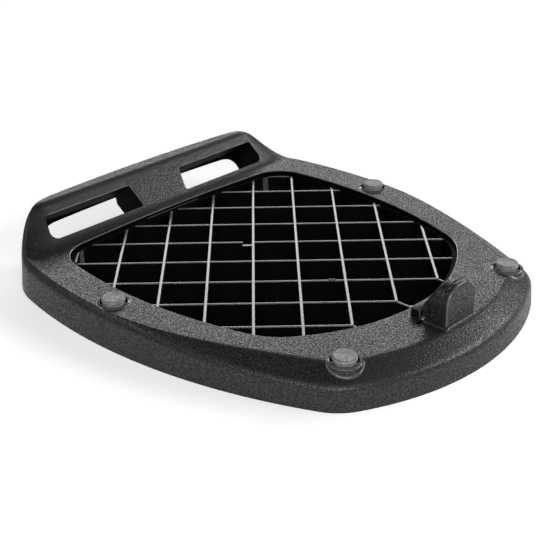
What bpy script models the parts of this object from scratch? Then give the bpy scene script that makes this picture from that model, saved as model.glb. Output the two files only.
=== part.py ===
"""Top case mounting plate for a motorbike's rear rack.

One moulding carries everything. Its rim is a channel that is open below, with a sloping band round
its front. A raised bar with two slots crosses its back, a diagonal lattice fills its middle, and
four bosses and a catch block stand on the rim. Four rubber pads sit in the bosses. The catch block
holds a glossy tongue on a cross pin.

Lengths are in metres. +Z is up, +Y points to the slotted bar, and X = 0 is the plane of symmetry.
"""
import math

import bmesh
import bpy
from mathutils import Vector

MM = 0.001

# Outer outline, measured at the level of the rim's flat top
LENGTH = 265.5 * MM
HALF_WIDTH = 116.6 * MM
WIDEST_Y = 35.8 * MM
SIDE_RADIUS = 303 * MM
BACK_RADIUS = 995 * MM
FRONT_RADIUS = 148 * MM
REAR_CORNER_RADIUS = 46.3 * MM
FRONT_CORNER_RADIUS = 29.5 * MM

# Lattice opening, measured at its upper edge
OPENING_BACK_RIM = 33.9 * MM
OPENING_FRONT_RIM = 41.3 * MM
OPENING_SIDE_RIM = 22.3 * MM
OPENING_WIDEST_Y = 36.3 * MM
OPENING_SIDE_RADIUS = 264 * MM
OPENING_BACK_RADIUS = 930 * MM
OPENING_FRONT_RADIUS = 107.5 * MM
OPENING_REAR_CORNER_RADIUS = 21.9 * MM
OPENING_FRONT_CORNER_RADIUS = 37.2 * MM
OPENING_LIP = 0.8 * MM

# Walls
RIM_HEIGHT = 20 * MM
WALL = 3 * MM
SKIN = 4 * MM
WALL_DRAFT = 0.08
EDGE_ROUND = 2.2 * MM

# Sloping band between the rim's flat top and its outer edge
SIDE_BAND_WIDTH = 2.4 * MM
FRONT_BAND_WIDTH = 12.4 * MM
SIDE_BAND_DROP = 2.4 * MM
FRONT_BAND_DROP = 7 * MM
BAR_BAND_DROP = 0.9 * MM
BAND_STARTS_Y = 23 * MM
BAND_FULL_Y = -102 * MM

# Raised bar
BAR_HEIGHT = 20.4 * MM
FACE_ANGLE = math.radians(48.5)
FACE_FOOT_GAP = 3.1 * MM
FACE_FOOT_BLEND = 2.3 * MM
FACE_TOP_BLEND = 1.6 * MM
BAR_FALL_INSET = 37.6 * MM
BAR_FALL_LENGTH = 41 * MM

# Slots through the bar, measured in the bar's inclined face
SLOT_START = 4.5 * MM
SLOT_WIDTH = 14.9 * MM
SLOT_INNER_X = 17.2 * MM
SLOT_SKEW = 3 * MM
SLOT_END_INSET = 31 * MM
SLOT_CORNER_RADIUS = 1.6 * MM
SLOT_OUTER_CORNER_RADIUS = 5.5 * MM
SLOT_TILT = math.radians(38.8)
SLOT_TUNNEL_DEPTH = 21.7 * MM
BACK_OPENING_HEIGHT = 22.3 * MM
BACK_OPENING_RADIUS = 18 * MM

# Lattice
LATTICE_PITCH = 25 * MM
LATTICE_CENTRE_Y = 11.25 * MM
LATTICE_RIB = 1.7 * MM
LATTICE_DEPTH = 16.2 * MM
LATTICE_DROP = 2.5 * MM
LEDGE_WIDTH = 2.5 * MM
LEDGE_STEP = 0.15 * MM
RIB_STEP = 0.1 * MM

# Stiffening webs under the rim
WEB_THICKNESS = 2 * MM
WEB_CLEARANCE = 2 * MM

# Rubber pads and their bosses, placed by the outline's direction there and the distance inside it
REAR_PAD_DIRECTION = math.radians(-1.8)
REAR_PAD_INSET = 11.4 * MM
FRONT_PAD_DIRECTION = math.radians(-55.9)
FRONT_PAD_INSET = 13.2 * MM
BOSS_RADIUS = 8.95 * MM
BOSS_STEP = 0.6 * MM
BOSS_DEPTH = 9 * MM
SEAT_DEPTH = 1.8 * MM
SEAT_GAP = 0.9 * MM
PAD_RADIUS = 6.3 * MM
PAD_TOP_RADIUS = 5.9 * MM
PAD_TOP_HEIGHT = 3.2 * MM
PAD_ROUND = 0.5 * MM
STEM_RADIUS = 2.7 * MM
STEM_LENGTH = 7 * MM
CLEARANCE = 0.3 * MM

# Catch block
CATCH_INSET = 13.4 * MM
CATCH_WIDTH = 23.2 * MM
CATCH_THICKNESS = 15.4 * MM
CATCH_HEIGHT = 22.3 * MM
CATCH_SHOULDER = 10.4 * MM
CATCH_TOP_LENGTH = 3.8 * MM
CATCH_BACK_SWELL = 0.5 * MM
CATCH_CORNER_RADIUS = 9.8 * MM
CATCH_SHOULDER_RADIUS = 2.6 * MM
CATCH_EDGE = 0.7 * MM
CATCH_FACE_THICKNESS = 3.6 * MM
CATCH_GROOVE = 0.6 * MM
PLINTH_WIDTH = 1.2 * MM
PLINTH_HEIGHT = 1.6 * MM
RECESS_DEPTH = 2.4 * MM
HINGE_DEPTH = 2.1 * MM

# Tongue and its cross pin
TONGUE_WIDTH = 21.6 * MM
TONGUE_LENGTH = 6 * MM
TONGUE_THICKNESS = 6.8 * MM
TONGUE_EDGE = 0.5 * MM
NECK_WIDTH = 16 * MM
NECK_INSERT = 8 * MM
PIN_RADIUS = 1.6 * MM
PIN_GAP = 0.35 * MM
PIN_DROP = 0.8 * MM

# Points along each arc of an outline, from the back's middle round to the front's
ARC_STEPS = (6, 12, 8, 8, 5)
ROUND_STEPS = 32
CORNER_STEPS = 5
BACK_STEPS = 12
TOP_RINGS = 9
UNDER_RINGS = 6
# Stations of the outline that carry a web under the rim
WEB_STATIONS = (18, 20, 23, 26, 34, 37)

# What follows from the sizes above
BACK_Y = LENGTH / 2
FRONT_Y = -LENGTH / 2 + WALL_DRAFT * RIM_HEIGHT
OPENING_HALF_WIDTH = HALF_WIDTH - OPENING_SIDE_RIM
OPENING_BACK_Y = BACK_Y - OPENING_BACK_RIM
OPENING_FRONT_Y = FRONT_Y + OPENING_FRONT_RIM
FACE_FOOT_Y = OPENING_BACK_Y + FACE_FOOT_GAP
FACE_SLOPE = math.tan(FACE_ANGLE)
FACE_TOP_Y = FACE_FOOT_Y + BAR_HEIGHT / FACE_SLOPE
BAR_FALL_STARTS_X = HALF_WIDTH - BAR_FALL_INSET
SLOT_OUTER_X = HALF_WIDTH - SLOT_END_INSET
LATTICE_TOP = RIM_HEIGHT - LATTICE_DROP
LEDGE_TOP = LATTICE_TOP + LEDGE_STEP
SEAT_RADIUS = PAD_RADIUS + SEAT_GAP
SEAT_FLOOR = RIM_HEIGHT + BOSS_STEP - SEAT_DEPTH
CATCH_OUTER_Y = FRONT_Y + CATCH_INSET
CATCH_INNER_Y = CATCH_OUTER_Y + CATCH_THICKNESS
TONGUE_BASE = RIM_HEIGHT - RECESS_DEPTH + CLEARANCE
HINGE_Y = CATCH_INNER_Y - HINGE_DEPTH
PIN_Y = HINGE_Y + PIN_GAP + PIN_RADIUS
TONGUE_Z = TONGUE_BASE + TONGUE_THICKNESS / 2
PIN_Z = TONGUE_Z - PIN_DROP
ROUND_CUT = EDGE_ROUND * (1 - math.sqrt(0.5))
OVERSHOOT = 10 * MM


def smooth(value, start, end):
    """0 before start and 1 after end, with an S-curve between"""
    t = min(max((value - start) / (end - start), 0.0), 1.0)
    return t * t * (3 - 2 * t)


def corner_centre(first, second, radius, towards):
    """Centre of a circle that touches two larger ones from inside, on the side of a point"""
    (a, reach_a), (b, reach_b) = [(centre, size - radius) for centre, size in (first, second)]
    across = b - a
    along = (reach_a**2 - reach_b**2 + across.length_squared) / (2 * across.length)
    height = math.sqrt(reach_a**2 - along**2)
    middle = a + across.normalized() * along
    side = Vector((-across.y, across.x)).normalized() * height
    return min(middle + side, middle - side, key=lambda point: (point - towards).length)


def outline_arcs(back, back_radius, half_width, widest_y, side_radius, front, front_radius,
                 rear_corner, front_corner):
    """Five arcs (centre, radius, first angle, last angle) of the outline's +X half"""
    back_circle = (Vector((0, back - back_radius)), back_radius)
    side_circle = (Vector((half_width - side_radius, widest_y)), side_radius)
    front_circle = (Vector((0, front + front_radius)), front_radius)
    rear_centre = corner_centre(back_circle, side_circle, rear_corner, Vector((half_width, back)))
    fore_centre = corner_centre(side_circle, front_circle, front_corner, Vector((half_width, front)))
    rear_circle, fore_circle = (rear_centre, rear_corner), (fore_centre, front_corner)
    circles = (back_circle, rear_circle, side_circle, fore_circle, front_circle)

    def joint(large, small):
        reach = small[0] - large[0]
        return math.atan2(reach.y, reach.x)

    angles = (math.pi / 2, joint(back_circle, rear_circle), joint(side_circle, rear_circle),
              joint(side_circle, fore_circle), joint(front_circle, fore_circle), -math.pi / 2)
    return [(*circle, angles[i], angles[i + 1]) for i, circle in enumerate(circles)]


def stations(arcs):
    """Points and outward normals once round the outline, matched in number to any other outline"""
    half = []
    for (centre, radius, first, last), steps in zip(arcs, ARC_STEPS):
        for i in range(steps):
            angle = first + (last - first) * i / steps
            normal = Vector((math.cos(angle), math.sin(angle)))
            half.append((centre + normal * radius, normal))
    centre, radius = arcs[-1][:2]
    half.append((centre - Vector((0, radius)), Vector((0, -1))))
    half[0] = (Vector((0, half[0][0].y)), Vector((0, 1)))
    mirrored = [(Vector((-p.x, p.y)), Vector((-n.x, n.y))) for p, n in half[-2:0:-1]]
    return half + mirrored


def place_by_direction(arcs, direction, inset):
    """Point at a distance inside the outline, where its outward normal has a direction"""
    for centre, radius, first, last in arcs:
        if last <= direction <= first:
            return centre + Vector((math.cos(direction), math.sin(direction))) * (radius - inset)
    raise ValueError("no part of the outline faces that way")


OUTER_ARCS = outline_arcs(BACK_Y, BACK_RADIUS, HALF_WIDTH, WIDEST_Y, SIDE_RADIUS, FRONT_Y,
                          FRONT_RADIUS, REAR_CORNER_RADIUS, FRONT_CORNER_RADIUS)
OPENING_ARCS = outline_arcs(OPENING_BACK_Y, OPENING_BACK_RADIUS, OPENING_HALF_WIDTH,
                            OPENING_WIDEST_Y, OPENING_SIDE_RADIUS, OPENING_FRONT_Y,
                            OPENING_FRONT_RADIUS, OPENING_REAR_CORNER_RADIUS,
                            OPENING_FRONT_CORNER_RADIUS)


def bar_rise(y):
    """Height of the bar above the rim along its inclined face, with a blend at foot and top"""
    if abs(y - FACE_FOOT_Y) < FACE_FOOT_BLEND:
        return FACE_SLOPE * (y - FACE_FOOT_Y + FACE_FOOT_BLEND)**2 / (4 * FACE_FOOT_BLEND)
    if abs(y - FACE_TOP_Y) < FACE_TOP_BLEND:
        return BAR_HEIGHT - FACE_SLOPE * (FACE_TOP_Y + FACE_TOP_BLEND - y)**2 / (4 * FACE_TOP_BLEND)
    return min(max(FACE_SLOPE * (y - FACE_FOOT_Y), 0.0), BAR_HEIGHT)


def top_height(point):
    """Height of the plate's upper side, without the sloping band"""
    fall = smooth(abs(point.x), BAR_FALL_STARTS_X, BAR_FALL_STARTS_X + BAR_FALL_LENGTH)
    return RIM_HEIGHT + bar_rise(point.y) * (1 - fall)


class Edge:
    """The plate's outer edge at one station, with the sloping band that starts there"""

    def __init__(self, outer, normal):
        front = smooth(-outer.y, -BAND_STARTS_Y, -BAND_FULL_Y)
        raised = (top_height(outer) - RIM_HEIGHT) / BAR_HEIGHT
        side_drop = SIDE_BAND_DROP + (BAR_BAND_DROP - SIDE_BAND_DROP) * raised
        self.outer = outer
        self.normal = normal
        self.width = SIDE_BAND_WIDTH + (FRONT_BAND_WIDTH - SIDE_BAND_WIDTH) * front
        self.drop = side_drop + (FRONT_BAND_DROP - SIDE_BAND_DROP) * front
        self.top = top_height(outer) - self.drop

    def wall(self, z, inset=0.0):
        """Point of the drafted outer wall at a height, moved inwards"""
        return self.outer + self.normal * (WALL_DRAFT * (RIM_HEIGHT - z) - inset)

    def surface(self, point):
        """Height of the plate's upper side at a point near this station, with the band"""
        inset = (self.wall(self.top) - point).length
        return top_height(point) - self.drop * max(0.0, 1 - inset / self.width)


def upright(point, z):
    return Vector((point.x, point.y, z))


def rim_section(edge, opening, opening_normal):
    """Closed section of the rim at one station, from the outer wall's foot over the top and back"""
    lip = opening + opening_normal * OPENING_LIP
    ledge = opening - opening_normal * LEDGE_WIDTH
    inner_wall = ledge + opening_normal * WALL
    under_edge = edge.wall(edge.top - SKIN, WALL)
    crease = edge.wall(edge.top, edge.width)
    section = [
        upright(edge.wall(0), 0),
        upright(edge.wall(edge.top - EDGE_ROUND), edge.top - EDGE_ROUND),
        upright(edge.wall(edge.top, ROUND_CUT), edge.top - ROUND_CUT),
        upright(edge.wall(edge.top, EDGE_ROUND), edge.surface(edge.wall(edge.top, EDGE_ROUND))),
    ]
    for i in range(TOP_RINGS + 2):
        point = crease.lerp(lip, i / (TOP_RINGS + 1))
        section.append(upright(point, top_height(point)))
    section += [
        upright(opening, RIM_HEIGHT - OPENING_LIP),
        upright(opening, LEDGE_TOP),
        upright(ledge, LEDGE_TOP),
        upright(ledge, 0),
        upright(inner_wall, 0),
    ]
    for i in range(UNDER_RINGS + 2):
        point = inner_wall.lerp(under_edge, i / (UNDER_RINGS + 1))
        section.append(upright(point, edge.surface(point) - SKIN))
    section.append(upright(edge.wall(0, WALL), 0))
    return section


def envelope_section(edge, opening, opening_normal):
    """Open section half a wall inside the plate's outer surface, up to a line in the opening"""
    inside = opening - opening_normal * 2 * LEDGE_WIDTH
    section = [upright(edge.wall(0, WALL / 2), WEB_CLEARANCE)]
    for i in range(UNDER_RINGS + 3):
        point = edge.wall(edge.top, WALL / 2).lerp(inside, i / (UNDER_RINGS + 2))
        section.append(upright(point, edge.surface(point) - SKIN / 2))
    return section


def new_object(name, bm, hidden=False):
    """Object from a bmesh with its faces turned outwards; a hidden one only cuts or joins"""
    bmesh.ops.recalc_face_normals(bm, faces=bm.faces)
    if bm.calc_volume(signed=True) < 0:
        bmesh.ops.reverse_faces(bm, faces=bm.faces)
    mesh = bpy.data.meshes.new(name)
    bm.to_mesh(mesh)
    bm.free()
    thing = bpy.data.objects.new(name, mesh)
    bpy.context.collection.objects.link(thing)
    if hidden:
        thing.hide_render = True
        thing.display_type = 'WIRE'
    return thing


def add_rings(bm, sections, closed):
    """Skin of quads over a closed row of sections; returns the vertices of each section"""
    rows = [[bm.verts.new(point) for point in section] for section in sections]
    size = len(rows[0])
    for i, row in enumerate(rows):
        after = rows[(i + 1) % len(rows)]
        for k in range(size if closed else size - 1):
            j = (k + 1) % size
            bm.faces.new((row[k], row[j], after[j], after[k]))
    return rows


def add_loft(bm, slices):
    """Closed solid through a row of closed outlines with equally many points"""
    rows = [[bm.verts.new(point) for point in outline] for outline in slices]
    for row, after in zip(rows, rows[1:]):
        for k in range(len(row)):
            j = (k + 1) % len(row)
            bm.faces.new((row[k], row[j], after[j], after[k]))
    bm.faces.new(rows[0])
    bm.faces.new(rows[-1])


def add_prism(bm, outline, sweep):
    """Closed prism from a list of points, moved along a vector"""
    add_loft(bm, [outline, [point + sweep for point in outline]])


def add_beam(bm, start, end, width, z_range):
    """Upright-sided bar between two points in plan"""
    side = Vector((start.y - end.y, end.x - start.x)).normalized() * (width / 2)
    corners = (start - side, end - side, end + side, start + side)
    base = [upright(point, z_range[0]) for point in corners]
    add_prism(bm, base, Vector((0, 0, z_range[1] - z_range[0])))


def add_turned(bm, centre, profile):
    """Solid turned about an upright axis from (radius, height) pairs, with flat ends"""
    angles = [2 * math.pi * i / ROUND_STEPS for i in range(ROUND_STEPS)]
    add_loft(bm, [[upright(centre, z) + Vector((math.cos(a), math.sin(a), 0)) * radius for a in angles]
                  for radius, z in profile])


def rounded(corners, radii):
    """Outline of a polygon with an arc at each corner"""
    points = []
    for i, corner in enumerate(corners):
        before = (corners[i - 1] - corner).normalized()
        after = (corners[(i + 1) % len(corners)] - corner).normalized()
        half_angle = before.angle(after) / 2
        middle = corner + (before + after).normalized() * (radii[i] / math.sin(half_angle))
        start = corner + before * (radii[i] / math.tan(half_angle)) - middle
        end = corner + after * (radii[i] / math.tan(half_angle)) - middle
        sweep = math.pi - 2 * half_angle
        for k in range(CORNER_STEPS + 1):
            turn = sweep * k / CORNER_STEPS
            mix = start * math.sin(sweep - turn) + end * math.sin(turn)
            points.append(middle + mix / math.sin(sweep))
    return points


def add_boolean(thing, tool, operation):
    """Boolean with another object, kept live on the first one"""
    modifier = thing.modifiers.new(tool.name, 'BOOLEAN')
    modifier.operation = operation
    modifier.object = tool


def make_material(name, colour, roughness, metallic=0.0):
    material = bpy.data.materials.new(name)
    material.use_nodes = True
    shader = material.node_tree.nodes["Principled BSDF"]
    shader.inputs["Base Color"].default_value = (*colour, 1)
    shader.inputs["Roughness"].default_value = roughness
    shader.inputs["Metallic"].default_value = metallic
    return material


def finish(thing, material):
    """Give an object its material and smooth shading with sharp corners"""
    thing.data.materials.append(material)
    thing.data.shade_smooth()
    thing.data.set_sharp_from_angle(angle=math.radians(30))


def plate_shell():
    """The channel of the rim and bar, once round the opening"""
    bm = bmesh.new()
    pairs = zip(stations(OUTER_ARCS), stations(OPENING_ARCS))
    add_rings(bm, [rim_section(Edge(*outer), *opening) for outer, opening in pairs], closed=True)
    return new_object("mounting_plate", bm)


def plate_envelope():
    """Solid that trims whatever is added under the plate's skin"""
    bm = bmesh.new()
    pairs = zip(stations(OUTER_ARCS), stations(OPENING_ARCS))
    rows = add_rings(bm, [envelope_section(Edge(*outer), *opening) for outer, opening in pairs],
                     closed=False)
    bm.faces.new([row[0] for row in rows])
    bm.faces.new([row[-1] for row in rows])
    return new_object("plate_envelope", bm, hidden=True)


def face_point(x, up_the_face):
    """Point of the bar's inclined face, by its distance from the face's foot"""
    return Vector((x, FACE_FOOT_Y + up_the_face * math.cos(FACE_ANGLE),
                   RIM_HEIGHT + up_the_face * math.sin(FACE_ANGLE)))


TUNNEL = Vector((0, math.cos(SLOT_TILT), -math.sin(SLOT_TILT)))


def back_y(x):
    """Y of the outline's back arc at a place across the plate"""
    return BACK_Y - BACK_RADIUS + math.sqrt(BACK_RADIUS**2 - x**2)


def slot_limit():
    """Solid that ends just inside the back wall's inner surface"""
    bm = bmesh.new()
    half = SLOT_OUTER_X + WALL
    outline = [Vector((x, OPENING_BACK_Y, -OVERSHOOT)) for x in (half, -half)]
    for i in range(BACK_STEPS + 1):
        x = half * (2 * i / BACK_STEPS - 1)
        outline.append(Vector((x, back_y(x) - WALL - CLEARANCE, -OVERSHOOT)))
    add_prism(bm, outline, Vector((0, 0, RIM_HEIGHT + BAR_HEIGHT + 2 * OVERSHOOT)))
    return new_object("slot_limit", bm, hidden=True)


def slot_cutters():
    """The two slots, which run down and back from the bar's inclined face to the back wall"""
    bm = bmesh.new()
    near, far = SLOT_START, SLOT_START + SLOT_WIDTH
    for side in (1, -1):
        corners = [face_point(side * x, up) for x, up in (
            (SLOT_INNER_X, near), (SLOT_OUTER_X, near), (SLOT_OUTER_X - SLOT_SKEW, far),
            (SLOT_INNER_X + SLOT_SKEW, far))]
        radii = (SLOT_CORNER_RADIUS, SLOT_OUTER_CORNER_RADIUS, SLOT_CORNER_RADIUS, SLOT_CORNER_RADIUS)
        mouth = [point - TUNNEL * OVERSHOOT for point in rounded(corners, radii)]
        add_prism(bm, mouth, TUNNEL * (SLOT_TUNNEL_DEPTH + 2 * OVERSHOOT))
    cutters = new_object("slot_cutters", bm, hidden=True)
    add_boolean(cutters, slot_limit(), 'INTERSECT')
    return cutters


def slot_tunnels(envelope):
    """Walls round each slot below the skin, trimmed to the inside of the plate"""
    bm = bmesh.new()
    outer_x = SLOT_OUTER_X + WALL
    near, far = SLOT_START - WALL, SLOT_START + SLOT_WIDTH + WALL
    for first, last in ((SLOT_INNER_X - WALL, outer_x), (-outer_x, WALL - SLOT_INNER_X)):
        outline = [face_point(first, near), face_point(first, far)]
        outline += [point + TUNNEL * SLOT_TUNNEL_DEPTH for point in reversed(outline)]
        add_prism(bm, outline, Vector((last - first, 0, 0)))
    tunnels = new_object("slot_tunnels", bm, hidden=True)
    add_boolean(tunnels, envelope, 'INTERSECT')
    return tunnels


def back_opening_cutter():
    """Opening in the back wall under the bar, which follows the wall's curve"""
    half, radius = SLOT_OUTER_X + CLEARANCE, BACK_OPENING_RADIUS
    corner = []
    for k in range(CORNER_STEPS + 1):
        angle = math.pi / 2 * k / CORNER_STEPS
        corner.append((half - radius + radius * math.cos(angle),
                       BACK_OPENING_HEIGHT - radius + radius * math.sin(angle)))
    top = [((half - radius) * (1 - 2 * i / BACK_STEPS), BACK_OPENING_HEIGHT) for i in range(1, BACK_STEPS)]
    slices = []
    for x, z in corner + top + [(-x, z) for x, z in reversed(corner)]:
        near, far = back_y(x) - WALL - 2 * CLEARANCE, back_y(x) + OVERSHOOT
        slices.append([Vector((x, y, height)) for y, height in (
            (near, -OVERSHOOT), (far, -OVERSHOOT), (far, z), (near, z))])
    bm = bmesh.new()
    add_loft(bm, slices)
    return new_object("back_opening_cutter", bm, hidden=True)


def rim_webs(envelope):
    """Stiffening webs across the channel of the rim, trimmed to the inside of the plate"""
    bm = bmesh.new()
    outer, opening = stations(OUTER_ARCS), stations(OPENING_ARCS)
    for index in WEB_STATIONS:
        for i in (index, len(outer) - index):
            point, normal = opening[i]
            start = point - normal * (LEDGE_WIDTH - WALL / 2)
            add_beam(bm, start, outer[i][0], WEB_THICKNESS, (0, RIM_HEIGHT))
    webs = new_object("rim_webs", bm, hidden=True)
    add_boolean(webs, envelope, 'INTERSECT')
    return webs


def crossings(start, direction, loop):
    """Distances along a line at which it crosses a closed loop, in order"""
    found = []
    for a, b in zip(loop, loop[1:] + loop[:1]):
        edge = b - a
        scale = direction.x * edge.y - direction.y * edge.x
        if abs(scale) < 1e-12:
            continue
        reach = a - start
        along = (reach.x * edge.y - reach.y * edge.x) / scale
        share = (reach.x * direction.y - reach.y * direction.x) / scale
        if 0 <= share < 1:
            found.append(along)
    return sorted(found)


def lattice_loop():
    """Middle of the inner wall, in which every rib of the lattice ends"""
    return [p - n * (LEDGE_WIDTH - WALL / 2) for p, n in stations(OPENING_ARCS)]


def front_row_y(loop):
    """Y of the last row of crossings that stands a rib's reach clear of the front wall"""
    front = min(point.y for point in loop)
    row_step = LATTICE_PITCH / math.sqrt(2)
    rows = int((LATTICE_CENTRE_Y - front - 4 * LATTICE_RIB) / row_step)
    return LATTICE_CENTRE_Y - rows * row_step


def lattice_ribs(name, turn, top):
    """One family of parallel ribs at 45 degrees, each from wall to wall"""
    bm = bmesh.new()
    loop = lattice_loop()
    last_y = front_row_y(loop)
    along = Vector((turn, 1)).normalized()
    across = Vector((along.y, -along.x))
    centre = Vector((0, LATTICE_CENTRE_Y))
    reach = max((point - centre).length for point in loop)
    count = int(reach / LATTICE_PITCH) + 1
    for i in range(-count, count):
        start = centre + across * LATTICE_PITCH * (i + 0.5)
        cuts = crossings(start, along, loop)
        if len(cuts) < 2:
            continue
        first, last = start + along * cuts[0], start + along * cuts[-1]
        if first.y < last_y:
            first += along * ((last_y - first.y) / along.y)
        if (last - first).dot(along) > LATTICE_RIB:
            add_beam(bm, first, last, LATTICE_RIB, (top - LATTICE_DEPTH, top))
    return new_object(name, bm, hidden=True)


def lattice_spokes():
    """Short straight ribs from the front row of crossings to the front wall"""
    bm = bmesh.new()
    loop = lattice_loop()
    last_y = front_row_y(loop)
    step = LATTICE_PITCH * math.sqrt(2)
    rows = round((LATTICE_CENTRE_Y - last_y) / (step / 2))
    offset = 0 if rows % 2 else step / 2
    count = int(OPENING_HALF_WIDTH / step) + 1
    for i in range(-count, count + 1):
        start = Vector((offset + i * step, last_y + LATTICE_RIB / 2))
        ahead = [along for along in crossings(start, Vector((0, -1)), loop) if along > 0]
        if len(ahead) == 1:
            end = start - Vector((0, ahead[0]))
            add_beam(bm, start, end, LATTICE_RIB, (LATTICE_TOP - LATTICE_DEPTH + CLEARANCE,
                                                   LATTICE_TOP - CLEARANCE))
    return new_object("lattice_spokes", bm, hidden=True)


def pad_places():
    """Name and centre of each pad"""
    places = {}
    for row, direction, inset in (("rear", REAR_PAD_DIRECTION, REAR_PAD_INSET),
                                  ("front", FRONT_PAD_DIRECTION, FRONT_PAD_INSET)):
        spot = place_by_direction(OUTER_ARCS, direction, inset)
        places[f"pad_{row}_right"] = spot
        places[f"pad_{row}_left"] = Vector((-spot.x, spot.y))
    return places


def bosses():
    bm = bmesh.new()
    top, base = RIM_HEIGHT + BOSS_STEP, RIM_HEIGHT - BOSS_DEPTH
    for spot in pad_places().values():
        add_turned(bm, spot, ((BOSS_RADIUS, base), (BOSS_RADIUS, top - PAD_ROUND),
                              (SEAT_RADIUS + CLEARANCE, top)))
    return new_object("bosses", bm, hidden=True)


def seat_cutters():
    """A shallow seat and a bore for each pad's stem"""
    bm = bmesh.new()
    bore = STEM_RADIUS + CLEARANCE
    base, top = RIM_HEIGHT - BOSS_DEPTH - OVERSHOOT, RIM_HEIGHT + OVERSHOOT
    for spot in pad_places().values():
        add_turned(bm, spot, ((bore, base), (bore, SEAT_FLOOR), (SEAT_RADIUS, SEAT_FLOOR),
                              (SEAT_RADIUS, top)))
    return new_object("seat_cutters", bm, hidden=True)


def catch_slice(y, half_width, height, radius):
    """Upright slice of the catch block, with round upper corners"""
    base = RIM_HEIGHT - SKIN / 2
    outline = [Vector((half_width, y, base))]
    for side, start in ((1, 0), (-1, math.pi / 2)):
        centre = Vector((side * (half_width - radius), y, RIM_HEIGHT + height - radius))
        for k in range(CORNER_STEPS + 1):
            angle = start + math.pi / 2 * k / CORNER_STEPS
            outline.append(centre + Vector((math.cos(angle), 0, math.sin(angle))) * radius)
    outline.append(Vector((-half_width, y, base)))
    return outline


def catch_block():
    """Catch block: a rounded outer face, a groove over it and a sloping back with firmer corners"""
    half = CATCH_WIDTH / 2
    groove_y = CATCH_OUTER_Y + CATCH_FACE_THICKNESS
    slope_y = groove_y + CATCH_GROOVE + CATCH_TOP_LENGTH
    middle_y = (slope_y + CATCH_INNER_Y) / 2
    middle_height = (CATCH_HEIGHT + CATCH_SHOULDER) / 2 + CATCH_BACK_SWELL
    full, last = CATCH_CORNER_RADIUS, CATCH_SHOULDER_RADIUS
    slope_radius = (2 * full + last) / 3
    middle_radius = (full + 2 * last) / 3
    slices = [
        (CATCH_OUTER_Y, half - CATCH_EDGE, CATCH_HEIGHT - 2 * CATCH_EDGE, full - CATCH_EDGE),
        (CATCH_OUTER_Y + CATCH_EDGE, half, CATCH_HEIGHT - CATCH_EDGE, full),
        (groove_y, half, CATCH_HEIGHT - CATCH_EDGE / 2, full),
        (groove_y + CATCH_GROOVE / 3, half, CATCH_HEIGHT - CATCH_EDGE / 2 - CATCH_GROOVE, full),
        (groove_y + 2 * CATCH_GROOVE / 3, half, CATCH_HEIGHT - CATCH_GROOVE, full),
        (groove_y + CATCH_GROOVE, half, CATCH_HEIGHT, full),
        (slope_y, half, CATCH_HEIGHT - CATCH_EDGE, slope_radius),
        (middle_y, half, middle_height, middle_radius),
        (CATCH_INNER_Y - CATCH_EDGE, half, CATCH_SHOULDER + CATCH_EDGE, last),
        (CATCH_INNER_Y, half - CATCH_EDGE, CATCH_SHOULDER, last - CATCH_EDGE),
    ]
    bm = bmesh.new()
    add_loft(bm, [catch_slice(*each) for each in slices])
    return new_object("catch_block", bm, hidden=True)


def catch_plinth():
    """Chamfered foot round the catch block"""
    bm = bmesh.new()
    slices = []
    for spread, z in ((PLINTH_WIDTH, RIM_HEIGHT - SKIN / 2), (PLINTH_WIDTH, RIM_HEIGHT + CLEARANCE),
                      (0, RIM_HEIGHT + PLINTH_HEIGHT)):
        half = CATCH_WIDTH / 2 + spread + CLEARANCE
        near, far = CATCH_OUTER_Y - spread - CLEARANCE, CATCH_INNER_Y - CATCH_EDGE
        slices.append([Vector((x, y, z)) for x, y in (
            (-half, near), (half, near), (half, far), (-half, far))])
    add_loft(bm, slices)
    return new_object("catch_plinth", bm, hidden=True)


def tongue_recess():
    """Recess in the rim below the tongue, with a pocket in the catch block for its neck"""
    bm = bmesh.new()
    half, neck_half = TONGUE_WIDTH / 2 + CLEARANCE, NECK_WIDTH / 2 + CLEARANCE
    neck_end = CATCH_INNER_Y - NECK_INSERT - CLEARANCE
    nose_end = PIN_Y + PIN_RADIUS + PIN_GAP + TONGUE_LENGTH + CLEARANCE
    floor, roof = TONGUE_BASE - CLEARANCE, TONGUE_BASE + TONGUE_THICKNESS + CLEARANCE
    outline = [Vector((x, y, floor)) for x, y in (
        (-neck_half, neck_end), (neck_half, neck_end), (neck_half, HINGE_Y), (half, HINGE_Y),
        (half, nose_end), (-half, nose_end), (-half, HINGE_Y), (-neck_half, HINGE_Y))]
    add_prism(bm, outline, Vector((0, 0, roof - floor)))
    return new_object("tongue_recess", bm, hidden=True)


def hinge_openings():
    """Openings in the catch block's sides, in which the cross pin's ends show"""
    bm = bmesh.new()
    outer = CATCH_WIDTH / 2 + PLINTH_WIDTH + WALL
    inner = NECK_WIDTH / 2 + PIN_GAP
    floor, roof = RIM_HEIGHT - CLEARANCE, TONGUE_BASE + TONGUE_THICKNESS - CLEARANCE
    for side in (1, -1):
        outline = [Vector((side * x, y, floor)) for x, y in (
            (inner, HINGE_Y + CLEARANCE), (outer, HINGE_Y + CLEARANCE), (outer, CATCH_INNER_Y + CLEARANCE),
            (inner, CATCH_INNER_Y + CLEARANCE))]
        add_prism(bm, outline, Vector((0, 0, roof - floor)))
    return new_object("hinge_openings", bm, hidden=True)


def mounting_plate(material):
    plate = plate_shell()
    envelope = plate_envelope()
    for tool in (slot_tunnels(envelope), rim_webs(envelope), bosses(), catch_block(), catch_plinth(),
                 lattice_ribs("ribs_rising", 1, LATTICE_TOP),
                 lattice_ribs("ribs_falling", -1, LATTICE_TOP - RIB_STEP), lattice_spokes()):
        add_boolean(plate, tool, 'UNION')
    for tool in (slot_cutters(), back_opening_cutter(), seat_cutters(), tongue_recess(), hinge_openings()):
        add_boolean(plate, tool, 'DIFFERENCE')
    finish(plate, material)


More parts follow.
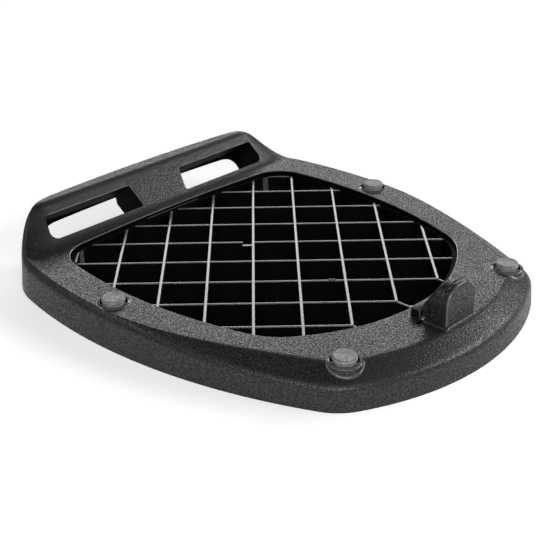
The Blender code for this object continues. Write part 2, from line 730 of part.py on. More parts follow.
def rubber_pad(name, spot, material):
    """Mushroom pad with its origin where its flange meets the seat"""
    base = CLEARANCE
    top = RIM_HEIGHT + PAD_TOP_HEIGHT - SEAT_FLOOR
    bm = bmesh.new()
    add_turned(bm, Vector((0, 0)), (
        (STEM_RADIUS - PAD_ROUND, base - STEM_LENGTH), (STEM_RADIUS, base - STEM_LENGTH + PAD_ROUND),
        (STEM_RADIUS, base), (PAD_RADIUS, base), (PAD_RADIUS, SEAT_DEPTH),
        (PAD_TOP_RADIUS, top - PAD_ROUND), (PAD_TOP_RADIUS - PAD_ROUND, top)))
    pad = new_object(name, bm)
    pad.location = upright(spot, SEAT_FLOOR)
    finish(pad, material)


def catch_tongue(material):
    """Glossy tongue with its origin on the pin's axis"""
    bm = bmesh.new()
    half, neck_half = TONGUE_WIDTH / 2, NECK_WIDTH / 2
    nose_back = PIN_RADIUS + PIN_GAP
    low = PIN_DROP - TONGUE_THICKNESS / 2
    high = low + TONGUE_THICKNESS
    neck_end = CATCH_INNER_Y - NECK_INSERT - PIN_Y
    outline = [Vector((x, y, low)) for x, y in (
        (-neck_half, neck_end), (neck_half, neck_end), (neck_half, nose_back), (half, nose_back),
        (half, nose_back + TONGUE_LENGTH), (-half, nose_back + TONGUE_LENGTH), (-half, nose_back),
        (-neck_half, nose_back))]
    add_prism(bm, outline, Vector((0, 0, high - low)))
    tongue = new_object("catch_tongue", bm)
    tongue.location = (0, PIN_Y, PIN_Z)
    bevel = tongue.modifiers.new("edges", 'BEVEL')
    bevel.width = TONGUE_EDGE
    bevel.segments = 2
    bore = bmesh.new()
    bmesh.ops.create_cone(bore, cap_ends=True, segments=ROUND_STEPS, radius1=PIN_RADIUS + CLEARANCE,
                          radius2=PIN_RADIUS + CLEARANCE, depth=TONGUE_WIDTH + OVERSHOOT)
    cutter = new_object("pin_bore", bore, hidden=True)
    cutter.location = (0, PIN_Y, PIN_Z)
    cutter.rotation_euler = (0, math.pi / 2, 0)
    add_boolean(tongue, cutter, 'DIFFERENCE')
    finish(tongue, material)


def catch_pin(material):
    """Cross pin with its origin at its middle"""
    bm = bmesh.new()
    bmesh.ops.create_cone(bm, cap_ends=True, segments=ROUND_STEPS, radius1=PIN_RADIUS,
                          radius2=PIN_RADIUS, depth=TONGUE_WIDTH)
    pin = new_object("catch_pin", bm)
    pin.location = (0, PIN_Y, PIN_Z)
    pin.rotation_euler = (0, math.pi / 2, 0)
    finish(pin, material)


def main():
    for thing in list(bpy.data.objects):
        bpy.data.objects.remove(thing)
    mounting_plate(make_material("grained_black_plastic", (0.03, 0.03, 0.032), 0.6))
    rubber = make_material("grey_rubber", (0.16, 0.16, 0.165), 0.75)
    for name, spot in pad_places().items():
        rubber_pad(name, spot, rubber)
    catch_tongue(make_material("gloss_black_plastic", (0.01, 0.01, 0.011), 0.15))
    catch_pin(make_material("bright_steel", (0.6, 0.6, 0.6), 0.3, metallic=1.0))


main()
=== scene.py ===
"""Dressed model of a top case mounting plate, laid out as a Blender add-on.

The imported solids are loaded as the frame, and every piece here rides on them. The plate is a channel
swept once round its lattice opening, with the raised bar, its slots and tunnels, a catch block and
four bosses. Lengths are in metres, +Z is up and +Y points to the raised bar.
"""

import math

import bmesh
import bpy
from mathutils import Matrix, Vector


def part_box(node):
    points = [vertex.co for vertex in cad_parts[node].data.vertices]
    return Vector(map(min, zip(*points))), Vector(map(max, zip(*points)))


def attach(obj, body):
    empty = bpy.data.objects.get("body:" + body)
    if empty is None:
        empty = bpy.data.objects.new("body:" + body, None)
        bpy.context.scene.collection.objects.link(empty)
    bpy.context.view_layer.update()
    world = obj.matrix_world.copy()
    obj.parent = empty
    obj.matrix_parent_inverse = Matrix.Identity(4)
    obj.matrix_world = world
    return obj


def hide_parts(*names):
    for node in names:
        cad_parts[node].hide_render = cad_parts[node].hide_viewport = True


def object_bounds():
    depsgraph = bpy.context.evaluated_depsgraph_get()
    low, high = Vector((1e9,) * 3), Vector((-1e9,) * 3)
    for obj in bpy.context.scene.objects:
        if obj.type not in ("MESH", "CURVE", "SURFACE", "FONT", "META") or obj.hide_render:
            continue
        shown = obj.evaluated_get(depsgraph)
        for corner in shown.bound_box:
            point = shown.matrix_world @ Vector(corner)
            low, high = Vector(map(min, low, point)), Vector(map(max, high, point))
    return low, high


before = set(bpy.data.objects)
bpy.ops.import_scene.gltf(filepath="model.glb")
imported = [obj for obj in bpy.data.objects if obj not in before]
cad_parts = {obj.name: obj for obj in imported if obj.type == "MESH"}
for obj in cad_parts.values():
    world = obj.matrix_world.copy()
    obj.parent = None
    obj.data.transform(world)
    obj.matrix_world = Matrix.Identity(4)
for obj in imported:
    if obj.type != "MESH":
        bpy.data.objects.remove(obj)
CAD_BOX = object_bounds()

bl_info = {
    "name": "Top case mounting plate",
    "version": (1, 0, 0),
    "blender": (4, 5, 0),
    "location": "3D View > Sidebar > Plate",
    "description": "Builds the dressed mounting plate, its rubber pads, its catch and a plain studio",
    "category": "Add Mesh",
}

MM = 0.001
HIGH = CAD_BOX[1]

# Outer outline at the level of the rim's flat top; its widest place comes from the frame
RIM_HEIGHT = 20 * MM
DRAFT = 0.08
HALF_WIDTH = HIGH.x - DRAFT * RIM_HEIGHT
LENGTH = 265.5 * MM
BACK_Y = LENGTH / 2
FRONT_Y = -LENGTH / 2 + DRAFT * RIM_HEIGHT
WIDEST_Y = 35.8 * MM
SIDE_RADIUS = 303 * MM
BACK_RADIUS = 995 * MM
FRONT_RADIUS = 148 * MM
REAR_CORNER_RADIUS = 46.3 * MM
FRONT_CORNER_RADIUS = 29.5 * MM

# Lattice opening
OPENING_BACK_Y = BACK_Y - 33.9 * MM
OPENING_FRONT_Y = FRONT_Y + 41.3 * MM
OPENING_HALF_WIDTH = HALF_WIDTH - 22.3 * MM
OPENING_WIDEST_Y = 36.3 * MM
OPENING_SIDE_RADIUS = 264 * MM
OPENING_BACK_RADIUS = 930 * MM
OPENING_FRONT_RADIUS = 107.5 * MM
OPENING_REAR_CORNER_RADIUS = 21.9 * MM
OPENING_FRONT_CORNER_RADIUS = 37.2 * MM

# Walls and the sloping band
WALL = 3 * MM
SKIN = 4 * MM
SIDE_BAND_WIDTH = 2.4 * MM
FRONT_BAND_WIDTH = 12.4 * MM
SIDE_BAND_DROP = 2.4 * MM
FRONT_BAND_DROP = 7 * MM
BAR_BAND_DROP = 0.9 * MM
BAND_STARTS_Y = 23 * MM
BAND_FULL_Y = -102 * MM

# Raised bar and its slots
BAR_HEIGHT = 20.4 * MM
FACE_ANGLE = math.radians(48.5)
FACE_SLOPE = math.tan(FACE_ANGLE)
FACE_FOOT_Y = OPENING_BACK_Y + 3.1 * MM
FACE_TOP_Y = FACE_FOOT_Y + BAR_HEIGHT / FACE_SLOPE
BAR_FALL_STARTS_X = HALF_WIDTH - 37.6 * MM
BAR_FALL_LENGTH = 41 * MM
SLOT_START = 4.5 * MM
SLOT_WIDTH = 14.9 * MM
SLOT_INNER_X = 17.2 * MM
SLOT_OUTER_X = HALF_WIDTH - 31 * MM
SLOT_SKEW = 3 * MM
SLOT_TILT = math.radians(38.8)
SLOT_DEPTH = 21.7 * MM
TUNNEL = Vector((0, math.cos(SLOT_TILT), -math.sin(SLOT_TILT)))
BACK_OPENING_HEIGHT = 22.3 * MM
BACK_OPENING_RADIUS = 18 * MM

# Lattice
LATTICE_PITCH = 25 * MM
LATTICE_CENTRE_Y = 11.25 * MM
LATTICE_TOP = RIM_HEIGHT - 2.5 * MM
LATTICE_BASE = LATTICE_TOP - 16.2 * MM
CROSSING_DROP = 0.06 * MM
LEDGE_WIDTH = 2.5 * MM
LEDGE_TOP = LATTICE_TOP + 0.15 * MM
# Marks of the moulding gates: the rib's family and number, the place along it, and if it is notched
GATE_MARKS = (((-1, 0), 15.9 * MM, True), ((-1, -2), -28.9 * MM, False), ((-1, -2), -30.9 * MM, False))
GATE_LENGTH = 5.2 * MM
GATE_DEPTH = 2.2 * MM
# Radius and edge round of the nubs in a notch and on a whole rib
NOTCH_NUB = (1.4 * MM, 0.25 * MM)
RIB_NUB = (0.75 * MM, 0.2 * MM)

# Webs under the rim, by the stations that carry them
WEB_STATIONS = (18, 20, 23, 26, 34, 37)
WEB_HALF = 1 * MM
WEB_LAP = 0.4 * MM
WEB_CLEARANCE = 2 * MM

# Bosses and pads, which stand where the frame's pads are
PAD_NODES = ("pad_rear_right", "pad_rear_left", "pad_front_right", "pad_front_left")
BOSS_RADIUS = 8.95 * MM
BOSS_TOP = RIM_HEIGHT + 0.6 * MM
BOSS_BASE = RIM_HEIGHT - 9 * MM
BOSS_EDGE = RIM_HEIGHT + 0.1 * MM
BOSS_SEAM = 0.5 * MM
SEAT_FLOOR = BOSS_TOP - 1.8 * MM
SEAT_GAP = 0.9 * MM
CLEARANCE = 0.3 * MM

# Catch block
CATCH_OUTER_Y = FRONT_Y + 13.4 * MM
CATCH_INNER_Y = CATCH_OUTER_Y + 15.4 * MM
CATCH_HALF = 11.6 * MM
CATCH_TOP = HIGH.z - RIM_HEIGHT
CATCH_SHOULDER = 10.4 * MM
CATCH_SHOULDER_RADIUS = 2.6 * MM
CATCH_BACK_SWELL = 0.5 * MM
CATCH_FACE_THICKNESS = 3.6 * MM
CATCH_TOP_LENGTH = 3.8 * MM
HINGE_Y = CATCH_INNER_Y - 2.1 * MM
HINGE_INNER_X = 8.35 * MM
HINGE_OUTER_X = CATCH_HALF + 4.2 * MM
TONGUE_LENGTH = 6 * MM
NECK_HALF = 8 * MM

# Points along each arc of an outline, from the back's middle round to the front's
SOLID_STEPS = (6, 12, 8, 8, 5)
FINE_STEPS = (24, 28, 30, 24, 24)
OVERSHOOT = 10 * MM
MERGE = 0.001 * MM
# Numbers of the moulding's materials, in the order of plate_materials
# The smooth material is a lighter copy that paints highlights, the core material a darker copy that paints
# shade
GRAINED, SMOOTH_HIGHLIGHT, SHADED_CORE = range(3)
# Distance at which a sharp inner corner of the rim's section is held
HOLD = 0.2 * MM


def length_property(name, description, default, least=0.1):
    """Size that a user would change, given in millimetres"""
    return bpy.props.FloatProperty(name=name, description=description, default=default * MM,
                                   min=least * MM, unit='LENGTH')


def colour_property(name, description, default):
    """Colour that a user would change"""
    return bpy.props.FloatVectorProperty(name=name, description=description, default=default,
                                         size=3, min=0, max=1, subtype='COLOR')


class PlateSizes(bpy.types.PropertyGroup):
    edge_round: length_property("Edge round", "Size of the round on the rim's outer edge", 2.9, 0.2)
    crease_softness: bpy.props.FloatProperty(
        name="Crease softness", description="Share of the band's width over which its crease is blended",
        default=0.16, min=0.02, max=0.5, subtype='FACTOR')
    lip_round: length_property("Lip round", "Round on the rim's edge at the lattice opening", 0.55)
    ledge_round: length_property("Ledge round", "Round on the edge of the ledge below the lip", 0.5)
    slot_round: length_property("Slot round", "Round on the edge of the slots' mouths", 0.35)
    slot_corner: length_property("Slot corner", "Corner radius of the slots", 1.4, 0.3)
    slot_outer_corner: length_property("Slot outer corner", "Radius of the slots' lower outer corner",
                                       4.4, 0.3)
    rib_width: length_property("Rib width", "Width of the lattice's ribs", 1.7, 0.5)
    rib_round: length_property("Rib round", "Round on the upper edges of the ribs", 0.35, 0.05)
    pad_radius: length_property("Pad radius", "Radius of a pad's flange in its seat", 6.3, 1)
    pad_top_radius: length_property("Pad top radius", "Radius of a pad's head", 5.9, 1)
    pad_round: length_property("Pad round", "Round on the edge of a pad's head", 0.3)
    pad_dish: length_property("Pad dish", "Depth of the shallow dish in a pad's head", 0.18, 0)
    catch_corner: length_property("Catch corner", "Radius of the catch block's upper corners", 9.8, 1)
    catch_edge: length_property("Catch edge", "Round on the catch block's edges", 0.9)
    catch_groove: length_property("Catch groove", "Depth and width of the groove behind the face", 0.6)


class PlateColours(bpy.types.PropertyGroup):
    plastic: colour_property("Plastic", "Colour of the moulded plate", (0.016, 0.016, 0.017))
    rubber: colour_property("Rubber", "Colour of the pads", (0.28, 0.28, 0.285))
    tongue: colour_property("Tongue", "Colour of the tongue", (0.004, 0.004, 0.0045))
    steel: colour_property("Steel", "Colour of the cross pin", (0.6, 0.6, 0.6))
    floor: colour_property("Floor", "Colour of the studio's floor", (0.9, 0.9, 0.9))


# Outlines

def smooth(value, start, end):
    """0 before start and 1 after end, with an S-curve between"""
    t = min(max((value - start) / (end - start), 0.0), 1.0)
    return t * t * (3 - 2 * t)


def corner_centre(first, second, radius, towards):
    """Centre of a circle that touches two larger ones from inside, on the side of a point"""
    (a, reach_a), (b, reach_b) = [(centre, size - radius) for centre, size in (first, second)]
    across = b - a
    along = (reach_a**2 - reach_b**2 + across.length_squared) / (2 * across.length)
    height = math.sqrt(reach_a**2 - along**2)
    middle = a + across.normalized() * along
    side = Vector((-across.y, across.x)).normalized() * height
    return min(middle + side, middle - side, key=lambda point: (point - towards).length)


def outline_arcs(back, back_radius, half_width, widest_y, side_radius, front, front_radius,
                 rear_corner, front_corner):
    """Five arcs (centre, radius, first angle, last angle) of the outline's +X half"""
    back_circle = (Vector((0, back - back_radius)), back_radius)
    side_circle = (Vector((half_width - side_radius, widest_y)), side_radius)
    front_circle = (Vector((0, front + front_radius)), front_radius)
    rear_centre = corner_centre(back_circle, side_circle, rear_corner, Vector((half_width, back)))
    fore_centre = corner_centre(side_circle, front_circle, front_corner, Vector((half_width, front)))
    rear_circle, fore_circle = (rear_centre, rear_corner), (fore_centre, front_corner)
    circles = (back_circle, rear_circle, side_circle, fore_circle, front_circle)

    def joint(large, small):
        reach = small[0] - large[0]
        return math.atan2(reach.y, reach.x)

    angles = (math.pi / 2, joint(back_circle, rear_circle), joint(side_circle, rear_circle),
              joint(side_circle, fore_circle), joint(front_circle, fore_circle), -math.pi / 2)
    return [(*circle, angles[i], angles[i + 1]) for i, circle in enumerate(circles)]


def stations(arcs, arc_steps):
    """Points and outward normals once round the outline, matched in number to any other outline"""
    half = []
    for (centre, radius, first, last), steps in zip(arcs, arc_steps):
        for i in range(steps):
            angle = first + (last - first) * i / steps
            normal = Vector((math.cos(angle), math.sin(angle)))
            half.append((centre + normal * radius, normal))
    centre, radius = arcs[-1][:2]
    half.append((centre - Vector((0, radius)), Vector((0, -1))))
    half[0] = (Vector((0, half[0][0].y)), Vector((0, 1)))
    mirrored = [(Vector((-p.x, p.y)), Vector((-n.x, n.y))) for p, n in half[-2:0:-1]]
    return half + mirrored


OUTER_ARCS = outline_arcs(BACK_Y, BACK_RADIUS, HALF_WIDTH, WIDEST_Y, SIDE_RADIUS, FRONT_Y,
                          FRONT_RADIUS, REAR_CORNER_RADIUS, FRONT_CORNER_RADIUS)
OPENING_ARCS = outline_arcs(OPENING_BACK_Y, OPENING_BACK_RADIUS, OPENING_HALF_WIDTH,
                            OPENING_WIDEST_Y, OPENING_SIDE_RADIUS, OPENING_FRONT_Y,
                            OPENING_FRONT_RADIUS, OPENING_REAR_CORNER_RADIUS,
                            OPENING_FRONT_CORNER_RADIUS)


def matched_stations(arc_steps):
    return list(zip(stations(OUTER_ARCS, arc_steps), stations(OPENING_ARCS, arc_steps)))


# The plate's upper side

FOOT_BLEND = 2.6 * MM
TOP_BLEND = 2.2 * MM


def bar_rise(y):
    """Height of the bar above the rim along its inclined face, with a blend at foot and top"""
    if abs(y - FACE_FOOT_Y) < FOOT_BLEND:
        return FACE_SLOPE * (y - FACE_FOOT_Y + FOOT_BLEND)**2 / (4 * FOOT_BLEND)
    if abs(y - FACE_TOP_Y) < TOP_BLEND:
        return BAR_HEIGHT - FACE_SLOPE * (FACE_TOP_Y + TOP_BLEND - y)**2 / (4 * TOP_BLEND)
    return min(max(FACE_SLOPE * (y - FACE_FOOT_Y), 0.0), BAR_HEIGHT)


def top_height(point):
    """Height of the plate's upper side, without the sloping band"""
    fall = smooth(abs(point.x), BAR_FALL_STARTS_X, BAR_FALL_STARTS_X + BAR_FALL_LENGTH)
    return RIM_HEIGHT + bar_rise(point.y) * (1 - fall)


class Edge:
    """The plate's outer edge at one station, with the sloping band that starts there"""

    def __init__(self, outer, normal, softness=0.1):
        front = smooth(-outer.y, -BAND_STARTS_Y, -BAND_FULL_Y)
        raised = (top_height(outer) - RIM_HEIGHT) / BAR_HEIGHT
        side_drop = SIDE_BAND_DROP + (BAR_BAND_DROP - SIDE_BAND_DROP) * raised
        self.outer = outer
        self.normal = normal
        self.softness = softness
        self.width = SIDE_BAND_WIDTH + (FRONT_BAND_WIDTH - SIDE_BAND_WIDTH) * front
        self.drop = side_drop + (FRONT_BAND_DROP - SIDE_BAND_DROP) * front
        self.top = top_height(outer) - self.drop

    def wall(self, z, inset=0.0):
        """Point of the drafted outer wall at a height, moved inwards"""
        return self.outer + self.normal * (DRAFT * (RIM_HEIGHT - z) - inset)

    def band(self, inset):
        """Point of the band's surface at a distance inside the edge, blended into the flat top"""
        point = self.wall(self.top, inset)
        t, s = inset / self.width, self.softness
        share = (1 + s - t)**2 / (4 * s) if abs(t - 1) < s else max(1 - t, 0.0)
        return upright(point, top_height(point) - self.drop * share)

    def under(self, point):
        """Height of the skin's lower side at a point near this station"""
        inset = (self.wall(self.top) - point).length
        return top_height(point) - self.drop * max(0.0, 1 - inset / self.width) - SKIN


def upright(point, z):
    return Vector((point.x, point.y, z))


def curve(start, corner, end, steps):
    """Points of a round that leaves start and reaches end along the corner's two sides"""
    points = []
    for k in range(steps + 1):
        t = k / steps
        points.append(start * (1 - t)**2 + corner * 2 * t * (1 - t) + end * t**2)
    return points


def run(start, end, steps):
    """Points between two others, without the ends"""
    return [start.lerp(end, k / steps) for k in range(1, steps)]


def rim_section(edge, opening, opening_normal, sizes):
    """Closed section of the rim; returns its points and the numbers at which lip and core side begin, where
    the painted highlight of the lighter material and the painted shade of the darker one start
    """
    lip_foot = opening + opening_normal * sizes.lip_round
    ledge = opening - opening_normal * LEDGE_WIDTH
    inner_wall = ledge + opening_normal * WALL
    round_low = edge.top - sizes.edge_round
    corner = upright(edge.wall(edge.top), edge.band(0).z)
    blend_end = edge.width * (1 + edge.softness)
    blend_start = max(edge.width * (1 - edge.softness), sizes.edge_round)
    section = [upright(edge.wall(0), 0), upright(edge.wall(round_low / 2), round_low / 2)]
    section += curve(upright(edge.wall(round_low), round_low), corner, edge.band(sizes.edge_round), 7)
    section += [edge.band(sizes.edge_round + (blend_start - sizes.edge_round) * k / 4) for k in range(1, 4)]
    section += [edge.band(blend_start + (blend_end - blend_start) * k / 5) for k in range(1, 6)]
    crease = edge.wall(edge.top, blend_end)
    for point in run(crease, lip_foot, 40):
        section.append(upright(point, top_height(point)))
    # The lip's round takes the lighter smooth material as a painted highlight
    lip = len(section)
    lip_top = upright(lip_foot, top_height(lip_foot))
    lip_corner = upright(opening, RIM_HEIGHT)
    section += curve(lip_top, lip_corner, upright(opening, RIM_HEIGHT - sizes.lip_round), 4)
    # From the lip's lower end on, the core side takes the darker material as a painted shade
    core = len(section) - 1
    inner_edge = ledge + opening_normal * sizes.ledge_round
    section += [upright(opening, LEDGE_TOP + HOLD), upright(opening, LEDGE_TOP),
                upright(opening - opening_normal * HOLD, LEDGE_TOP)]
    section += curve(upright(inner_edge, LEDGE_TOP), upright(ledge, LEDGE_TOP),
                     upright(ledge, LEDGE_TOP - sizes.ledge_round), 3)
    section += [upright(ledge, 0), upright(inner_wall, 0)]
    under_edge = edge.wall(edge.top - SKIN, WALL)
    section += [upright(point, edge.under(point)) for point in
                [inner_wall] + run(inner_wall, under_edge, 12) + [under_edge]]
    section.append(upright(edge.wall(0, WALL), 0))
    return section, (lip, core)


# Mesh tools

def skin(rows, around=False, along=False, marks=()):
    """Bmesh of a grid laid over rows of points, closed around each row and along the rows if asked

    The material changes to the next one at each marked point of a row.
    """
    rows = [row + row[:1] if around else row for row in rows]
    rows = rows + rows[:1] if along else rows
    width = len(rows[0])
    bm = bmesh.new()
    bmesh.ops.create_grid(bm, x_segments=width - 1, y_segments=len(rows) - 1, size=1)
    order = sorted(bm.verts, key=lambda vert: (round(vert.co.y, 5), round(vert.co.x, 5)))
    column = {vert: index % width for index, vert in enumerate(order)}
    for face in bm.faces:
        first = min(column[vert] for vert in face.verts)
        face.material_index = sum(first >= mark for mark in marks)
    for vert, point in zip(order, [point for row in rows for point in row]):
        vert.co = point
    bmesh.ops.remove_doubles(bm, verts=bm.verts, dist=MERGE)
    return bm


def capped(bm):
    """Closes the open ends of a skin with flat faces"""
    bmesh.ops.holes_fill(bm, edges=[edge for edge in bm.edges if edge.is_boundary], sides=0)
    return bm


def turned(profile, centre, steps=72):
    """Bmesh of a profile of (radius, height) pairs spun about an upright axis"""
    bm = bmesh.new()
    verts = [bm.verts.new((radius, 0, z)) for radius, z in profile]
    edges = [bm.edges.new(pair) for pair in zip(verts, verts[1:])]
    if profile[0][0] > 0:
        edges.append(bm.edges.new((verts[-1], verts[0])))
    bmesh.ops.spin(bm, geom=verts + edges, axis=(0, 0, 1), cent=(0, 0, 0), angle=2 * math.pi,
                   steps=steps, use_merge=True)
    bmesh.ops.remove_doubles(bm, verts=bm.verts, dist=MERGE)
    bmesh.ops.translate(bm, verts=bm.verts, vec=upright(centre, 0))
    return bm


def arc(centre, radius, first, last, steps):
    """(radius, height) pairs along an arc, with its angles in degrees"""
    pairs = []
    for k in range(steps + 1):
        angle = math.radians(first + (last - first) * k / steps)
        pairs.append((centre[0] + radius * math.cos(angle), centre[1] + radius * math.sin(angle)))
    return pairs


def beam(bm, start, end, width, low, high, round_size):
    """Adds an upright-sided bar between two points in plan, with rounded upper edges"""
    made = bmesh.ops.create_cube(bm, size=1)["verts"]
    along = end - start
    bmesh.ops.scale(bm, verts=made, vec=(along.length, width, high - low))
    bmesh.ops.rotate(bm, verts=made, cent=(0, 0, 0),
                     matrix=Matrix.Rotation(math.atan2(along.y, along.x), 3, 'Z'))
    bmesh.ops.translate(bm, verts=made, vec=upright((start + end) / 2, (low + high) / 2))
    if round_size:
        edges = {edge for vert in made for edge in vert.link_edges}
        upper = [edge for edge in edges if min(vert.co.z for vert in edge.verts) > (low + high) / 2
                 and edge.calc_length() > 2 * width]
        bmesh.ops.bevel(bm, geom=upper, offset=round_size, affect='EDGES', segments=3, profile=0.5,
                        material=-1)


def rounded(corners, radii, steps):
    """Outline of a polygon with an arc at each corner, and the outward direction at each point"""
    centre = sum(corners, Vector()) / len(corners)
    points = []
    for i, corner in enumerate(corners):
        before = (corners[i - 1] - corner).normalized()
        after = (corners[(i + 1) % len(corners)] - corner).normalized()
        half_angle = before.angle(after) / 2
        middle = corner + (before + after).normalized() * (radii[i] / math.sin(half_angle))
        start = corner + before * (radii[i] / math.tan(half_angle)) - middle
        end = corner + after * (radii[i] / math.tan(half_angle)) - middle
        sweep = math.pi - 2 * half_angle
        for k in range(steps + 1):
            turn = sweep * k / steps
            mix = (start * math.sin(sweep - turn) + end * math.sin(turn)) / math.sin(sweep)
            outward = mix.normalized()
            if outward.dot(middle + mix - centre) < 0:
                outward.negate()
            points.append((middle + mix, outward))
    return points


def new_piece(name, bm, materials=()):
    """Object from a bmesh, with its faces turned outwards"""
    bmesh.ops.recalc_face_normals(bm, faces=bm.faces)
    if bm.calc_volume(signed=True) < 0:
        bmesh.ops.reverse_faces(bm, faces=bm.faces)
    mesh = bpy.data.meshes.new(name)
    bm.to_mesh(mesh)
    bm.free()
    for material in materials:
        mesh.materials.append(material)
    piece = bpy.data.objects.new(name, mesh)
    bpy.context.scene.collection.objects.link(piece)
    return piece


def combine(piece, tool, operation):
    """Joins or cuts a piece with a tool, which is used up"""
    modifier = piece.modifiers.new("shape", 'BOOLEAN')
    modifier.operation = operation
    modifier.object = tool
    bpy.context.view_layer.update()
    graph = bpy.context.evaluated_depsgraph_get()
    mesh = bpy.data.meshes.new_from_object(piece.evaluated_get(graph))
    piece.modifiers.clear()
    piece.data = mesh
    bpy.data.objects.remove(tool)


def dress(piece, slot, *nodes, angle=35):
    """Smooth shading with sharp corners, and the piece's place in the frame"""
    piece.data.shade_smooth()
    piece.data.set_sharp_from_angle(angle=math.radians(angle))
    if nodes:
        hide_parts(*nodes)
    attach(piece, "root")
    return piece


# Materials

def put(tree, value, socket):
    """Sets a socket to a number, or links another socket to it"""
    if isinstance(value, (int, float)):
        socket.default_value = value
    else:
        tree.links.new(value, socket)


def noise(tree, coordinates, scale, detail=2.0, roughness=0.5):
    node = tree.nodes.new("ShaderNodeTexNoise")
    for label, value in (("Vector", coordinates), ("Scale", scale), ("Detail", detail),
                         ("Roughness", roughness)):
        put(tree, value, node.inputs[label])
    return node.outputs["Fac"]


def ramp(tree, value, low, high, out_low=0.0, out_high=1.0):
    """Value mapped from one range to another, held at its ends"""
    node = tree.nodes.new("ShaderNodeMapRange")
    for socket, setting in zip(node.inputs, (value, low, high, out_low, out_high)):
        put(tree, setting, socket)
    return node.outputs["Result"]


def calculate(tree, operation, first, second):
    node = tree.nodes.new("ShaderNodeMath")
    node.operation = operation
    for socket, value in zip(node.inputs, (first, second)):
        put(tree, value, socket)
    return node.outputs["Value"]


def bump(tree, height, strength, distance=0.1 * MM):
    node = tree.nodes.new("ShaderNodeBump")
    for label, value in (("Height", height), ("Strength", strength), ("Distance", distance)):
        put(tree, value, node.inputs[label])
    return node.outputs["Normal"]


def tones(tree, share, tint, low, high):
    """Runs between two shades of one of the plate's colours"""
    colour = getattr(bpy.context.scene.plate_colours, tint)
    node = tree.nodes.new("ShaderNodeMix")
    node.data_type = 'RGBA'
    for label, factor in (("A", low), ("B", high)):
        node.inputs[label].default_value = (*(channel * factor for channel in colour), 1)
    tree.links.new(share, node.inputs["Factor"])
    return node.outputs["Result"]


def object_coordinates(tree):
    return tree.nodes.new("ShaderNodeTexCoord").outputs["Object"]


def stretched(tree, scale, turn=(0, 0, 0)):
    """Object coordinates, turned and stretched"""
    node = tree.nodes.new("ShaderNodeMapping")
    node.inputs["Rotation"].default_value = turn
    node.inputs["Scale"].default_value = scale
    tree.links.new(object_coordinates(tree), node.inputs["Vector"])
    return node.outputs["Vector"]


def kept(store, build):
    """The material or node group that a function builds, made on its first use"""
    return store.get(build.__name__) or build(build.__name__)


def new_group(name, inputs, outputs):
    """Empty shader node group whose sockets are all numbers, with its inner ends"""
    group = bpy.data.node_groups.new(name, 'ShaderNodeTree')
    for label, value in inputs.items():
        socket = group.interface.new_socket(label, in_out='INPUT', socket_type='NodeSocketFloat')
        socket.default_value = value
    for label in outputs:
        group.interface.new_socket(label, in_out='OUTPUT', socket_type='NodeSocketFloat')
    return group, group.nodes.new("NodeGroupInput").outputs, group.nodes.new("NodeGroupOutput").inputs


def placed(tree, build, **values):
    """Outputs of a shared group, placed with its own values"""
    node = tree.nodes.new("ShaderNodeGroup")
    node.node_tree = kept(bpy.data.node_groups, build)
    for label, value in values.items():
        node.inputs[label.replace("_", " ")].default_value = value
    return node.outputs


def moulded_grain(name):
    """Pebbled grain of a spark-eroded mould: a height and a speckle mask"""
    group, entry, result = new_group(name, {"Scale": 1400.0, "Coarse Share": 0.4}, ("Height", "Speckle"))
    where = object_coordinates(group)
    fine = noise(group, where, entry["Scale"], detail=1.0)
    coarse = noise(group, where, calculate(group, 'MULTIPLY', entry["Scale"], 0.6), detail=1.0)
    pebbles = group.nodes.new("ShaderNodeTexVoronoi")
    group.links.new(where, pebbles.inputs["Vector"])
    group.links.new(calculate(group, 'MULTIPLY', entry["Scale"], 0.7), pebbles.inputs["Scale"])
    mixed = calculate(group, 'ADD',
                      calculate(group, 'MULTIPLY', ramp(group, coarse, 0.32, 0.68), entry["Coarse Share"]),
                      calculate(group, 'MULTIPLY', ramp(group, fine, 0.3, 0.7), 0.5))
    pits = calculate(group, 'MULTIPLY', ramp(group, pebbles.outputs["Distance"], 0.1, 0.75), 0.3)
    group.links.new(calculate(group, 'ADD', mixed, pits), result["Height"])
    group.links.new(ramp(group, mixed, 0.4, 0.58), result["Speckle"])
    return group


def handling_marks(name):
    """Faint marks of handling: a cloudy mask and fine streaks"""
    group, entry, result = new_group(name, {"Cloud Scale": 18.0, "Streak Scale": 240.0},
                                     ("Clouds", "Streaks"))
    cloud = noise(group, object_coordinates(group), entry["Cloud Scale"], detail=5.0, roughness=0.62)
    streak = noise(group, stretched(group, (1.0, 0.12, 0.3), (0.3, 0.2, 0.7)), entry["Streak Scale"])
    group.links.new(ramp(group, cloud, 0.35, 0.7), result["Clouds"])
    group.links.new(ramp(group, streak, 0.62, 0.75), result["Streaks"])
    return group


def new_material(name):
    """Material with its node tree and its shader"""
    material = bpy.data.materials.new(name)
    material.use_nodes = True
    return material, material.node_tree, material.node_tree.nodes["Principled BSDF"]


def wire(tree, shader, colour, roughness, normal):
    """Feeds a shader's colour, roughness and normal"""
    for label, value in (("Base Color", colour), ("Roughness", roughness), ("Normal", normal)):
        tree.links.new(value, shader.inputs[label])


def grained_plastic(name):
    """Outer faces of the moulding, with a pebbled grain and a faint cloudiness"""
    material, tree, shader = new_material(name)
    grain = placed(tree, moulded_grain, Scale=1650.0, Coarse_Share=0.45)
    marks = placed(tree, handling_marks)
    rough = calculate(tree, 'ADD', ramp(tree, grain["Speckle"], 0.0, 1.0, 0.52, 0.22),
                      calculate(tree, 'MULTIPLY', marks["Clouds"], 0.06))
    rough = calculate(tree, 'SUBTRACT', rough, calculate(tree, 'MULTIPLY', marks["Streaks"], 0.06))
    wire(tree, shader, tones(tree, grain["Speckle"], "plastic", 0.0, 2.3), rough,
         bump(tree, grain["Height"], 1.0))
    return material


